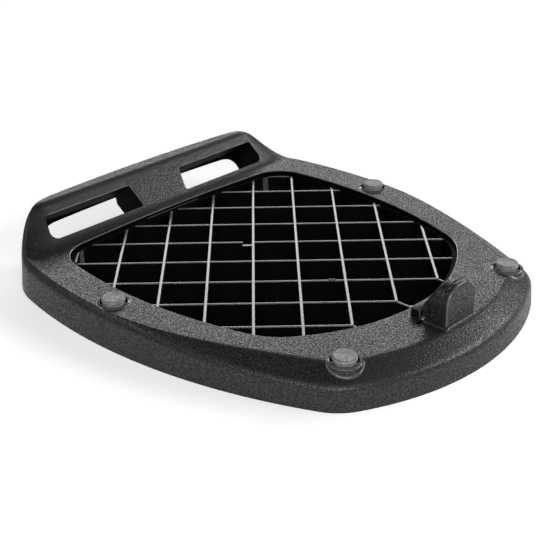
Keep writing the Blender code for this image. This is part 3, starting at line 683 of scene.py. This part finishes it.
def plain_plastic(name, factor, roughness, specular, depth):
    """Ungrained plastic with a faint cloudiness and ripple; the factor scales the moulding's colour up for
    painted highlights or down for painted shade
    """
    material, tree, shader = new_material(name)
    clouds = placed(tree, handling_marks, Cloud_Scale=60.0)["Clouds"]
    ripple = noise(tree, object_coordinates(tree), 420.0, detail=3.0)
    wire(tree, shader, tones(tree, clouds, "plastic", 0.6 * factor, factor),
         ramp(tree, clouds, 0.0, 1.0, roughness, roughness + 0.08), bump(tree, ripple, depth))
    shader.inputs["Specular IOR Level"].default_value = specular
    return material


def core_plastic(name):
    """Core side of the moulding, matt and darkened to 0.08 of the moulding's colour as painted shade: the
    tunnels, the webs and the underside
    """
    return plain_plastic(name, factor=0.08, roughness=0.6, specular=0.06, depth=0.3)


def lattice_plastic(name):
    """Smooth plastic of the lattice and of the slots' edges, seven times lighter than the moulding's colour
    as a painted highlight
    """
    return plain_plastic(name, factor=7.0, roughness=0.13, specular=0.6, depth=0.05)


def pad_rubber(name):
    """Grey rubber with a matt skin, a little dust and scratches"""
    material, tree, shader = new_material(name)
    grain = placed(tree, moulded_grain, Scale=1700.0, Coarse_Share=0.25)
    marks = placed(tree, handling_marks, Cloud_Scale=300.0, Streak_Scale=700.0)
    wear = calculate(tree, 'MAXIMUM', calculate(tree, 'MULTIPLY', marks["Clouds"], 0.4), marks["Streaks"])
    speckled = calculate(tree, 'ADD', wear, calculate(tree, 'MULTIPLY', grain["Speckle"], 0.3))
    wire(tree, shader, tones(tree, speckled, "rubber", 0.6, 2.2),
         ramp(tree, grain["Speckle"], 0.0, 1.0, 0.6, 0.4), bump(tree, grain["Height"], 0.25))
    return material


def satin_plastic(name):
    """Black satin plastic of the tongue, with faint flow waves"""
    material, tree, shader = new_material(name)
    clouds = placed(tree, handling_marks, Cloud_Scale=220.0, Streak_Scale=900.0)["Clouds"]
    waves = noise(tree, object_coordinates(tree), 260.0, detail=1.0)
    wire(tree, shader, tones(tree, clouds, "tongue", 0.8, 1.6),
         ramp(tree, clouds, 0.0, 1.0, 0.3, 0.42), bump(tree, waves, 0.08))
    shader.inputs["Specular IOR Level"].default_value = 0.35
    return material


def pin_steel(name):
    """Bright steel with lengthwise drawing marks"""
    material, tree, shader = new_material(name)
    shader.inputs["Metallic"].default_value = 1.0
    lines = noise(tree, stretched(tree, (0.05, 1.0, 1.0)), 5200.0, detail=3.0)
    wire(tree, shader, tones(tree, lines, "steel", 0.85, 1.2),
         ramp(tree, lines, 0.3, 0.7, 0.2, 0.34), bump(tree, lines, 0.1, 0.05 * MM))
    return material


def plate_materials():
    """Materials of the moulding: its grained outer side, its smooth edges painted lighter as highlights and
    its core side painted darker as shade
    """
    return [kept(bpy.data.materials, build) for build in (grained_plastic, lattice_plastic, core_plastic)]


# Bodies that shape the plate

def as_core(bm):
    """Marks all faces of a body as core side, whose darker material paints shade"""
    for face in bm.faces:
        face.material_index = SHADED_CORE
    return bm


def body(rows):
    """Closed body of the core side over rows of points, each row closed on itself, in the darker material
    that paints shade
    """
    return as_core(capped(skin(rows, around=True)))


def prism(outline, low, high):
    """Upright solid of an outline of (x, y) pairs between two heights"""
    return capped(skin([[Vector((x, y, z)) for x, y in outline] for z in (low, high)], around=True))


def joined(*parts):
    """One bmesh from several, which are used up"""
    whole = bmesh.new()
    for part in parts:
        mesh = bpy.data.meshes.new("part")
        part.to_mesh(mesh)
        part.free()
        whole.from_mesh(mesh)
        bpy.data.meshes.remove(mesh)
    return whole


def cut(piece, *parts):
    """Cuts bodies out of a piece, all at once"""
    combine(piece, new_piece("cutter", joined(*parts), plate_materials()), 'DIFFERENCE')


def paint(piece, rule):
    """Gives each face the number of its material by a rule"""
    for face in piece.data.polygons:
        face.material_index = rule(face)


def face_point(x, up_the_face):
    """Point of the bar's inclined face, by its distance from the face's foot"""
    return Vector((x, FACE_FOOT_Y + up_the_face * math.cos(FACE_ANGLE),
                   RIM_HEIGHT + up_the_face * math.sin(FACE_ANGLE)))


def slot_tool(side, sizes):
    """Cutter of one slot, which flares out to a round at the inclined face"""
    near, far = SLOT_START, SLOT_START + SLOT_WIDTH
    corners = [face_point(side * x, up) for x, up in (
        (SLOT_INNER_X, near), (SLOT_OUTER_X, near), (SLOT_OUTER_X - SLOT_SKEW, far),
        (SLOT_INNER_X + SLOT_SKEW, far))]
    radii = (sizes.slot_corner, sizes.slot_outer_corner, sizes.slot_corner, sizes.slot_corner)
    outline = rounded(corners, radii, 8)
    size = sizes.slot_round
    mouth = arc((size, size), size, 180, 270, 5)
    rows = []
    for depth, spread in [(-OVERSHOOT, size), *mouth, (SLOT_DEPTH + 2 * OVERSHOOT, 0)]:
        rows.append([point + outward * spread + TUNNEL * depth for point, outward in outline])
    return body(rows)


def smooth_mouth(face):
    """Number of the smooth material, a painted highlight, on the round of a slot's mouth, and the face's
    own elsewhere
    """
    up = Vector((0, -math.sin(FACE_ANGLE), math.cos(FACE_ANGLE)))
    near_face = abs((face_point(0, 0) - face.center).dot(up)) < MM
    if face.material_index == SHADED_CORE and near_face and abs(face.center.x) < SLOT_OUTER_X + MM:
        return SMOOTH_HIGHLIGHT
    return face.material_index


def tunnel_block(side):
    """Solid round one slot below the skin"""
    inner, outer = SLOT_INNER_X - WALL, SLOT_OUTER_X + WALL
    near, far = SLOT_START - WALL, SLOT_START + SLOT_WIDTH + WALL
    return body([[face_point(side * x, up) + TUNNEL * depth
                  for x, up in ((inner, near), (outer, near), (outer, far), (inner, far))]
                 for depth in (0, SLOT_DEPTH)])


def envelope():
    """Solid half a wall inside the plate's outer surface, which trims the tunnels"""
    rows = []
    steps = 8
    for outer, opening in matched_stations(SOLID_STEPS):
        edge = Edge(*outer)
        inside = opening[0] - opening[1] * 2 * LEDGE_WIDTH
        row = [upright(edge.wall(0, WALL / 2), WEB_CLEARANCE)]
        for k in range(steps + 1):
            point = edge.wall(edge.top, WALL / 2).lerp(inside, k / steps)
            row.append(upright(point, edge.under(point) + SKIN / 2))
        rows.append(row)
    return as_core(capped(skin(rows, along=True)))


def back_y(x):
    """Y of the outline's back arc at a place across the plate"""
    return BACK_Y - BACK_RADIUS + math.sqrt(BACK_RADIUS**2 - x**2)


def slot_limit():
    """Solid that ends just inside the back wall's inner surface"""
    low, high = -OVERSHOOT, RIM_HEIGHT + BAR_HEIGHT + OVERSHOOT
    steps = 24
    rows = []
    for i in range(steps + 1):
        x = (SLOT_OUTER_X + WALL) * (2 * i / steps - 1)
        far = back_y(x) - WALL - CLEARANCE
        rows.append([Vector((x, y, z)) for y, z in (
            (OPENING_BACK_Y, low), (far, low), (far, high), (OPENING_BACK_Y, high))])
    return body(rows)


def back_opening_tool():
    """Cutter of the wide opening in the back wall, below the bar"""
    half, radius = SLOT_OUTER_X + CLEARANCE, BACK_OPENING_RADIUS
    corner = arc((half - radius, BACK_OPENING_HEIGHT - radius), radius, 0, 90, 12)
    top = [((half - radius) * (1 - i / 10), BACK_OPENING_HEIGHT) for i in range(1, 20)]
    rows = []
    for x, z in corner + top + [(-x, z) for x, z in reversed(corner)]:
        near, far = back_y(x) - WALL - 2 * CLEARANCE, back_y(x) + OVERSHOOT
        rows.append([Vector((x, y, height)) for y, height in (
            (near, -OVERSHOOT), (far, -OVERSHOOT), (far, z), (near, z))])
    return body(rows)


def tongue_outline(low, high, gap, shoulder_y):
    """Outline of the tongue and its neck, widened by a gap, with its shoulder at a place"""
    half, neck, back, front = high.x + gap, NECK_HALF + gap, low.y - gap, high.y + gap
    return [(-neck, back), (neck, back), (neck, shoulder_y), (half, shoulder_y), (half, front),
            (-half, front), (-half, shoulder_y), (-neck, shoulder_y)]


def recess_tool():
    """Cutter of the recess below the tongue and the pocket for its neck"""
    low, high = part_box("catch_tongue")
    outline = tongue_outline(low, high, CLEARANCE, HINGE_Y)
    return as_core(prism(outline, low.z - CLEARANCE, high.z + CLEARANCE))


def hinge_tool(side):
    """Cutter of the opening in the catch block's side, in which the cross pin's end shows"""
    low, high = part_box("catch_tongue")
    near, far = HINGE_Y + CLEARANCE, CATCH_INNER_Y + CLEARANCE
    outline = [(side * x, y) for x, y in (
        (HINGE_INNER_X, near), (HINGE_OUTER_X, near), (HINGE_OUTER_X, far), (HINGE_INNER_X, far))]
    return as_core(prism(outline, RIM_HEIGHT - CLEARANCE, high.z - CLEARANCE))


def boss_bore(node):
    """Cutter of the hole in the plate in which a boss stands"""
    bore, low, high = BOSS_RADIUS - BOSS_SEAM, BOSS_BASE - OVERSHOOT, BOSS_TOP + OVERSHOOT
    return as_core(turned([(0, low), (bore, low), (bore, high), (0, high)], pad_centre(node)))


def pad_centre(node):
    low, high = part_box(node)
    return (low + high) / 2


# Operators

class PLATE_OT_shell(bpy.types.Operator):
    """Rim, sloping band and raised bar with its slots and tunnels"""
    bl_idname = "plate.shell"
    bl_label = "Rim and bar"

    def execute(self, context):
        sizes = context.scene.plate_sizes
        materials = plate_materials()
        rows = []
        for outer, opening in matched_stations(FINE_STEPS):
            section, marks = rim_section(Edge(*outer, sizes.crease_softness), *opening, sizes)
            rows.append(section)
        shell = new_piece("plate_shell", skin(rows, around=True, along=True, marks=marks), materials)
        # Tunnels and every cut face take the darker core material, a painted shade
        tunnels = new_piece("tunnels", joined(tunnel_block(1), tunnel_block(-1)), materials)
        combine(tunnels, new_piece("envelope", envelope(), materials), 'INTERSECT')
        combine(shell, tunnels, 'UNION')
        slots = new_piece("slots", joined(slot_tool(1, sizes), slot_tool(-1, sizes)), materials)
        combine(slots, new_piece("slot_limit", slot_limit(), materials), 'INTERSECT')
        combine(shell, slots, 'DIFFERENCE')
        cut(shell, back_opening_tool(), recess_tool(), *(boss_bore(node) for node in PAD_NODES))
        for side in (1, -1):
            cut(shell, hinge_tool(side))
        # The slots' mouth rounds take the lighter smooth material, a painted highlight
        paint(shell, smooth_mouth)
        weighted = shell.modifiers.new("even shading", 'WEIGHTED_NORMAL')
        weighted.keep_sharp = True
        dress(shell, "grained_black_plastic", "mounting_plate")
        return {'FINISHED'}


def rib_axes(turn):
    """Directions along and across one family of ribs"""
    along = Vector((turn, 1)).normalized()
    return along, Vector((along.y, -along.x))


class PLATE_OT_lattice(bpy.types.Operator):
    """Diagonal lattice, its short front ribs and the gate marks left on it"""
    bl_idname = "plate.lattice"
    bl_label = "Lattice"

    def execute(self, context):
        sizes = context.scene.plate_sizes
        width = sizes.rib_width
        loop = [p - n * (LEDGE_WIDTH - WALL / 2) for p, n in stations(OPENING_ARCS, FINE_STEPS)]
        row_step = LATTICE_PITCH / math.sqrt(2)
        row_count = int((LATTICE_CENTRE_Y - min(point.y for point in loop) - 4 * width) / row_step)
        last_y = LATTICE_CENTRE_Y - row_count * row_step
        centre = Vector((0, LATTICE_CENTRE_Y))
        count = int(max((point - centre).length for point in loop) / LATTICE_PITCH) + 1
        bm = bmesh.new()
        for turn, drop in ((1, 0.0), (-1, CROSSING_DROP)):
            along, across = rib_axes(turn)
            for i in range(-count, count):
                start = centre + across * LATTICE_PITCH * (i + 0.5)
                cuts = crossings(start, along, loop)
                if len(cuts) < 2:
                    continue
                first, last = max(cuts[0], (last_y - start.y) / along.y), cuts[-1]
                if last - first < width:
                    continue
                stretches = []
                for place in [place for rib, place, notched in GATE_MARKS if rib == (turn, i) and notched]:
                    near, far = place - GATE_LENGTH / 2, place + GATE_LENGTH / 2
                    stretches += [(first, near, LATTICE_TOP - drop, sizes.rib_round),
                                  (near - MM, far + MM, LATTICE_TOP - GATE_DEPTH, 0)]
                    first = far
                stretches.append((first, last, LATTICE_TOP - drop, sizes.rib_round))
                for begin, end, top, soft in stretches:
                    beam(bm, start + along * begin, start + along * end, width, LATTICE_BASE, top, soft)
        step = 2 * row_step
        offset = 0 if row_count % 2 else row_step
        reach = int(OPENING_HALF_WIDTH / step) + 1
        for i in range(-reach, reach + 1):
            start = Vector((offset + i * step, last_y + width / 2))
            ahead = [place for place in crossings(start, Vector((0, -1)), loop) if place > 0]
            if len(ahead) == 1:
                beam(bm, start, start - Vector((0, ahead[0])), width, LATTICE_BASE + CLEARANCE,
                     LATTICE_TOP - CLEARANCE, sizes.rib_round)
        nubs = [gate_nub(*mark) for mark in GATE_MARKS]
        piece = new_piece("lattice", joined(bm, *nubs), plate_materials())
        # Rib tops take the lighter smooth material as a painted highlight, rib sides the darker core
        # material as painted shade
        paint(piece, lambda face: SMOOTH_HIGHLIGHT if face.normal.z > 0.2 else SHADED_CORE)
        dress(piece, "grained_black_plastic")
        return {'FINISHED'}


def gate_nub(rib, place, notched):
    """Round nub that a moulding gate has left on a rib"""
    along, across = rib_axes(rib[0])
    centre = Vector((0, LATTICE_CENTRE_Y)) + across * LATTICE_PITCH * (rib[1] + 0.5) + along * place
    radius, soft = NOTCH_NUB if notched else RIB_NUB
    top = LATTICE_TOP - GATE_DEPTH + 0.1 * MM if notched else LATTICE_TOP + 0.6 * MM
    base = LATTICE_BASE + CLEARANCE if notched else LATTICE_TOP - MM
    profile = [(0, base), (radius, base)] + arc((radius - soft, top - soft), soft, 0, 90, 4)
    profile += [(0.5 * radius, top), (0.4 * radius, top - 0.25 * MM), (0, top - 0.3 * MM)]
    return turned(profile, centre, steps=36)


def crossings(start, direction, loop):
    """Distances along a line at which it crosses a closed loop, in order"""
    found = []
    for a, b in zip(loop, loop[1:] + loop[:1]):
        edge = b - a
        scale = direction.x * edge.y - direction.y * edge.x
        if abs(scale) < 1e-12:
            continue
        reach = a - start
        share = (reach.x * direction.y - reach.y * direction.x) / scale
        if 0 <= share < 1:
            found.append((reach.x * edge.y - reach.y * edge.x) / scale)
    return sorted(found)


class PLATE_OT_webs(bpy.types.Operator):
    """Stiffening webs across the channel under the rim"""
    bl_idname = "plate.webs"
    bl_label = "Webs"

    def execute(self, context):
        pairs = matched_stations(SOLID_STEPS)
        parts = []
        for outer, opening in [pairs[i * index] for index in WEB_STATIONS for i in (1, -1)]:
            edge = Edge(*outer)
            start = opening[0] - opening[1] * (LEDGE_WIDTH - WALL / 2)
            end = edge.wall(edge.top, WALL / 2)
            side = upright(Vector((start.y - end.y, end.x - start.x)).normalized() * WEB_HALF, 0)
            line = [start] + run(start, end, 8) + [end]
            ring = [upright(point, WEB_CLEARANCE) for point in line]
            ring += [upright(point, edge.under(point) + WEB_LAP) for point in reversed(line)]
            parts.append(capped(skin([[p - side for p in ring], [p + side for p in ring]], around=True)))
        # The webs are in the darker core material, a painted shade
        webs = new_piece("under_webs", joined(*parts), plate_materials()[SHADED_CORE:])
        dress(webs, "grained_black_plastic")
        return {'FINISHED'}


class PLATE_OT_bosses(bpy.types.Operator):
    """Four bosses with a sloping crown, a seat for the pad and a fillet at the foot"""
    bl_idname = "plate.bosses"
    bl_label = "Bosses"

    def execute(self, context):
        sizes = context.scene.plate_sizes
        seat = sizes.pad_radius + SEAT_GAP
        outer_round, inner_round, bore = 0.6 * MM, 0.3 * MM, 3 * MM
        profile = [(BOSS_RADIUS, BOSS_BASE)]
        profile += arc((BOSS_RADIUS - outer_round, BOSS_EDGE - outer_round), outer_round, 0, 65, 4)
        profile += arc((seat + inner_round, BOSS_TOP - inner_round), inner_round, 65, 180, 5)
        profile += [(seat, SEAT_FLOOR), (bore, SEAT_FLOOR), (bore, BOSS_BASE)]
        edges = [Edge(*outer, sizes.crease_softness) for outer, _ in matched_stations(FINE_STEPS)]
        for node in PAD_NODES:
            centre = pad_centre(node)
            boss = new_piece(node.replace("pad", "boss"), turned(profile, centre), plate_materials())
            # The crown's sloping faces take the lighter smooth material, a painted highlight
            paint(boss, lambda face: SMOOTH_HIGHLIGHT if 0.05 < face.normal.z < 0.92 else GRAINED)
            dress(boss, "grained_black_plastic", angle=50)
            # The foot fillet is all in the lighter smooth material, a painted highlight
            fillet = new_piece(node.replace("pad", "boss_foot"), boss_foot(centre, edges),
                               plate_materials()[SMOOTH_HIGHLIGHT:])
            dress(fillet, "grained_black_plastic", angle=50)
        return {'FINISHED'}


def surface_height(point, edges):
    """Height of the plate's upper side, with the sloping band of the nearest station"""
    edge = min(edges, key=lambda each: (each.wall(each.top) - point).length_squared)
    inset = (edge.wall(edge.top) - point).dot(edge.normal)
    return edge.band(inset).z if inset < edge.width * (1 + edge.softness) else top_height(point)


def boss_foot(centre, edges):
    """Fillet between a boss and the surface round it, as high as the boss allows there"""
    largest, steps, sunk = 0.8 * MM, 72, 0.3 * MM
    rows = []
    for i in range(steps):
        angle = 2 * math.pi * i / steps
        out = Vector((math.cos(angle), math.sin(angle)))
        wall = Vector((centre.x, centre.y)) + out * BOSS_RADIUS
        size = min(largest, 0.8 * (BOSS_EDGE - surface_height(wall, edges)))
        row = []
        for reach, rise in arc((size, size), size, 180, 270, 5):
            point = wall + out * reach
            row.append(upright(point, surface_height(point, edges) + rise))
        inner = wall - out * 0.2 * MM
        row += [upright(point, row[-1].z - sunk), upright(inner, surface_height(wall, edges) - sunk),
                upright(inner, row[0].z)]
        rows.append(row)
    return skin(rows, around=True, along=True)


class PLATE_OT_pads(bpy.types.Operator):
    """Four rubber pads with a stem, a flange and a dished head"""
    bl_idname = "plate.pads"
    bl_label = "Pads"

    def execute(self, context):
        material = kept(bpy.data.materials, pad_rubber)
        for node in PAD_NODES:
            low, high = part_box(node)
            profile = pad_profile(low.z, high.z, context.scene.plate_sizes)
            piece = new_piece("rubber_" + node, turned(profile, (low + high) / 2), (material,))
            dress(piece, "grey_rubber", node, angle=50)
        return {'FINISHED'}


def pad_profile(foot_z, top_z, sizes):
    """Outline of a pad, from its stem's foot over the flange and the groove to its dished head"""
    base, stem, chamfer = SEAT_FLOOR + CLEARANCE, 2.7 * MM, 0.5 * MM
    head, edge, flange, dish_depth = sizes.pad_top_radius, sizes.pad_round, sizes.pad_radius, sizes.pad_dish
    groove_z = top_z - edge - 0.45 * MM
    groove_top, groove_radius = groove_z + 0.38 * MM, head - 0.7 * MM
    tier_z, foot = groove_z - 1.2 * MM, flange - 0.8 * MM
    lower_round, upper_round = 0.2 * MM, 0.3 * MM
    dish = head - edge - MM
    return [(0, foot_z), (stem - chamfer, foot_z), (stem, foot_z + chamfer), (stem, base),
            (foot, base), (foot, tier_z),
            *arc((flange - lower_round, tier_z + lower_round), lower_round, -90, 0, 3),
            *arc((flange - upper_round, groove_z - upper_round), upper_round, 0, 90, 4),
            (groove_radius, groove_z), (groove_radius, groove_top), (head - 0.05 * MM, groove_top),
            *arc((head - edge, top_z - edge), edge, 0, 90, 6),
            (dish + 0.3 * MM, top_z), (dish + 0.1 * MM, top_z - dish_depth * 0.3),
            (dish - 0.2 * MM, top_z - dish_depth), (0, top_z - dish_depth)]


class PLATE_OT_catch_block(bpy.types.Operator):
    """Catch block with its grooved face, sloping back and plinth"""
    bl_idname = "plate.catch_block"
    bl_label = "Catch block"

    def execute(self, context):
        sizes = context.scene.plate_sizes
        edge, groove = sizes.catch_edge, sizes.catch_groove
        groove_y = CATCH_OUTER_Y + CATCH_FACE_THICKNESS
        slope_y = groove_y + groove + CATCH_TOP_LENGTH
        corner, last = sizes.catch_corner, CATCH_SHOULDER_RADIUS
        rows = []
        for turn in [math.radians(angle) for angle in (0, 22, 45, 68, 90)]:
            inset = edge * (1 - math.sin(turn))
            y = CATCH_OUTER_Y + edge * (1 - math.cos(turn))
            rows.append(catch_slice(y, inset, CATCH_TOP - inset, corner))
        soft, step = 0.3 * groove, 0.05 * MM
        far_y = groove_y + groove
        for y, drop in ((groove_y - soft, 0), (groove_y, soft), (groove_y + step, groove),
                        (far_y - step, groove), (far_y, soft), (far_y + soft, 0), (slope_y - MM, 0)):
            rows.append(catch_slice(y, 0, CATCH_TOP - drop, corner))
        steps, start_dip = 12, 0.15 * MM
        for k in range(steps + 1):
            share = k / steps
            y = slope_y + (CATCH_INNER_Y - edge - slope_y) * share
            swell = CATCH_BACK_SWELL * math.sin(math.pi * share)
            height = CATCH_TOP - (CATCH_TOP - CATCH_SHOULDER) * share + swell - start_dip * (k == 0)
            rows.append(catch_slice(y, 0, height, corner + (last - corner) * share))
        for turn in [math.radians(angle) for angle in (30, 60, 90)]:
            inset = edge * (1 - math.cos(turn))
            y = CATCH_INNER_Y - edge + edge * math.sin(turn)
            rows.append(catch_slice(y, inset, CATCH_SHOULDER - inset, last))
        block = new_piece("catch_block", capped(skin(rows, around=True)), plate_materials())
        # The round of the block's front edge takes the lighter smooth material, a painted highlight
        front_round = CATCH_OUTER_Y + 0.9 * edge
        paint(block, lambda face: SMOOTH_HIGHLIGHT if face.center.y < front_round and face.normal.y > -0.95
              else GRAINED)
        for piece in (block, catch_plinth()):
            # The recess and hinge cuts leave faces in the darker core material, a painted shade
            cut(piece, recess_tool())
            for side in (1, -1):
                cut(piece, hinge_tool(side))
            dress(piece, "grained_black_plastic", angle=40)
        return {'FINISHED'}


def catch_slice(y, inset, height, radius):
    """Upright slice of the catch block, with round upper corners"""
    half, base, centre_z = CATCH_HALF - inset, RIM_HEIGHT - SKIN / 2, RIM_HEIGHT + height - radius
    pairs = [(half, base), *arc((half - radius, centre_z), radius, 0, 90, 12),
             *arc((radius - half, centre_z), radius, 90, 180, 12), (-half, base)]
    return [Vector((x, y, z)) for x, z in pairs]


def catch_plinth():
    """Chamfered foot round the catch block"""
    near_radius, far_radius = 1.2 * MM, 0.3 * MM
    rows = []
    # Spread beyond the block and height above the rim of each ring, in millimetres
    for spread, z in ((1.45, -2), (1.45, 0.35), (1.3, 0.75), (1.0, 1.15), (0.55, 1.5), (0.25, 1.65)):
        half = CATCH_HALF + spread * MM
        near, far = CATCH_OUTER_Y - spread * MM, CATCH_INNER_Y - 0.7 * MM
        corners = [Vector((x, y, RIM_HEIGHT + z * MM)) for x, y in (
            (-half, near), (half, near), (half, far), (-half, far))]
        radii = (near_radius, near_radius, far_radius, far_radius)
        rows.append([point for point, _ in rounded(corners, radii, 5)])
    return new_piece("catch_plinth", capped(skin(rows, around=True)), plate_materials())


class PLATE_OT_tongue(bpy.types.Operator):
    """Dark tongue with its neck"""
    bl_idname = "plate.tongue"
    bl_label = "Tongue"

    def execute(self, context):
        low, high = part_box("catch_tongue")
        bm = prism(tongue_outline(low, high, 0, high.y - TONGUE_LENGTH), low.z, high.z)
        bmesh.ops.dissolve_limit(bm, angle_limit=math.radians(1), verts=bm.verts, edges=bm.edges)
        bmesh.ops.bevel(bm, geom=bm.edges, offset=0.5 * MM, affect='EDGES', segments=3, profile=0.5,
                        material=-1)
        # The tongue's rounded edges take the lighter smooth material, a painted highlight
        materials = (kept(bpy.data.materials, satin_plastic), plate_materials()[SMOOTH_HIGHLIGHT])
        piece = new_piece("tongue", bm, materials)
        paint(piece, lambda face: 1 if max(abs(part) for part in face.normal) < 0.97 else 0)
        dress(piece, "gloss_black_plastic", "catch_tongue", angle=60)
        return {'FINISHED'}


class PLATE_OT_pin(bpy.types.Operator):
    """Cross pin with hollow, rounded ends"""
    bl_idname = "plate.pin"
    bl_label = "Cross pin"

    def execute(self, context):
        low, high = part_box("catch_pin")
        radius, length, soft = (high.z - low.z) / 2, high.x - low.x, 0.25 * MM
        bore, hollow = radius - 0.75 * MM, 0.8 * MM
        half = [(0, hollow), (bore, hollow), (bore, soft / 2), (bore + soft / 2, 0)]
        half += arc((radius - soft, soft), soft, -90, 0, 4)
        profile = half + [(r, length - z) for r, z in reversed(half)]
        bm = turned(profile, Vector((0, 0)), steps=40)
        bmesh.ops.rotate(bm, verts=bm.verts, cent=(0, 0, 0), matrix=Matrix.Rotation(math.pi / 2, 3, 'Y'))
        centre = (low + high) / 2
        bmesh.ops.translate(bm, verts=bm.verts, vec=(low.x, centre.y, centre.z))
        piece = new_piece("cross_pin", bm, (kept(bpy.data.materials, pin_steel),))
        dress(piece, "bright_steel", "catch_pin", angle=50)
        return {'FINISHED'}


class PLATE_OT_stage(bpy.types.Operator):
    """Pale floor, soft lamps and the camera"""
    bl_idname = "plate.stage"
    bl_label = "Studio"

    def execute(self, context):
        bm = bmesh.new()
        bmesh.ops.create_grid(bm, x_segments=4, y_segments=4, size=20)
        floor = new_piece("floor", bm, (self.floor_material(),))
        self.lamp("far lamp", (0.64, 0.62, 0.45), 1.9, (1.8, 0.45), 12)
        self.lamp("right lamp", (0.74, -0.54, 0.54), 1.6, (1.5, 0.35), 15)
        self.lamp("left lamp", (-0.58, 0.6, 0.53), 1.6, (0.8, 0.4), 2)
        self.lamp("front lamp", (-0.64, -0.58, 0.52), 1.5, (1.8, 0.45), 14)
        self.world(context)
        self.camera(context)
        context.scene.view_settings.view_transform = 'Standard'
        return {'FINISHED'}

    def floor_material(self):
        """Matt white that lifts its own shadow a little and turns pure white further out"""
        material, tree, shader = new_material("studio_floor")
        place = object_coordinates(tree)
        shade = tones(tree, noise(tree, place, 1.5), "floor", 0.99, 1.0)
        tree.links.new(shade, shader.inputs["Base Color"])
        shader.inputs["Roughness"].default_value = 0.9
        shader.inputs["Specular IOR Level"].default_value = 0.0
        shader.inputs["Emission Color"].default_value = (1, 1, 1, 1)
        rays = tree.nodes.new("ShaderNodeLightPath").outputs
        length = tree.nodes.new("ShaderNodeVectorMath")
        length.operation = 'LENGTH'
        tree.links.new(place, length.inputs[0])
        white = ramp(tree, length.outputs["Value"], 0.8, 1.3, 0.46, 1.0)
        glow = calculate(tree, 'ADD', calculate(tree, 'MULTIPLY', rays["Is Camera Ray"], white),
                         calculate(tree, 'MULTIPLY', rays["Is Glossy Ray"], 0.3))
        tree.links.new(glow, shader.inputs["Emission Strength"])
        return material

    def lamp(self, name, direction, distance, size, power):
        """Soft rectangular lamp that faces the plate"""
        light = bpy.data.lights.new(name, 'AREA')
        light.shape = 'RECTANGLE'
        light.size, light.size_y = size
        light.energy = power
        lamp = bpy.data.objects.new(name, light)
        bpy.context.scene.collection.objects.link(lamp)
        towards = Vector(direction).normalized()
        lamp.location = towards * distance
        lamp.rotation_euler = (-towards).to_track_quat('-Z', 'Y').to_euler()
        lamp.visible_camera = False

    def world(self, context):
        """Bright all round up to a third of the height, dim above, and white to the camera"""
        world = bpy.data.worlds.new("studio")
        world.use_nodes = True
        context.scene.world = world
        tree = world.node_tree
        background = tree.nodes["Background"]
        axes = tree.nodes.new("ShaderNodeSeparateXYZ")
        tree.links.new(tree.nodes.new("ShaderNodeTexCoord").outputs["Generated"], axes.inputs["Vector"])
        background.inputs["Color"].default_value = (1, 1, 1, 1)
        glow = ramp(tree, axes.outputs["Z"], 0.47, 0.62, 0.061, 0.005)
        seen = tree.nodes.new("ShaderNodeLightPath").outputs["Is Camera Ray"]
        tree.links.new(calculate(tree, 'MAXIMUM', glow, seen), background.inputs["Strength"])

    def camera(self, context):
        """Long lens that looks down on the plate from its front left corner"""
        data = bpy.data.cameras.new("camera")
        data.sensor_width = 36
        data.lens = 77.877
        data.clip_start, data.clip_end = 0.01, 50
        camera = bpy.data.objects.new("camera", data)
        camera.location = (-0.43749, -0.41501, 0.31198)
        camera.rotation_euler = [math.radians(angle) for angle in (63.0894, 0.5454, -45.9979)]
        context.scene.collection.objects.link(camera)
        context.scene.camera = camera


class PLATE_PT_panel(bpy.types.Panel):
    """Lists the plate's pieces, sizes and colours"""
    bl_label = "Mounting plate"
    bl_idname = "PLATE_PT_panel"
    bl_space_type = 'VIEW_3D'
    bl_region_type = 'UI'
    bl_category = "Plate"

    def draw(self, context):
        for operator in PIECES:
            self.layout.operator(operator.bl_idname)
        for group in (context.scene.plate_sizes, context.scene.plate_colours):
            column = self.layout.column()
            for name in group.bl_rna.properties.keys():
                if name not in ("rna_type", "name"):
                    column.prop(group, name)


PIECES = (PLATE_OT_shell, PLATE_OT_lattice, PLATE_OT_webs, PLATE_OT_bosses, PLATE_OT_pads,
          PLATE_OT_catch_block, PLATE_OT_tongue, PLATE_OT_pin, PLATE_OT_stage)
CLASSES = (PlateSizes, PlateColours, *PIECES, PLATE_PT_panel)


def register():
    for each in CLASSES:
        bpy.utils.register_class(each)
    bpy.types.Scene.plate_sizes = bpy.props.PointerProperty(type=PlateSizes)
    bpy.types.Scene.plate_colours = bpy.props.PointerProperty(type=PlateColours)


def unregister():
    del bpy.types.Scene.plate_colours
    del bpy.types.Scene.plate_sizes
    for each in reversed(CLASSES):
        bpy.utils.unregister_class(each)


def main():
    register()
    bpy.ops.plate.shell()
    bpy.ops.plate.lattice()
    bpy.ops.plate.webs()
    bpy.ops.plate.bosses()
    bpy.ops.plate.pads()
    bpy.ops.plate.catch_block()
    bpy.ops.plate.tongue()
    bpy.ops.plate.pin()
    bpy.ops.plate.stage()


if __name__ == "__main__":
    main()
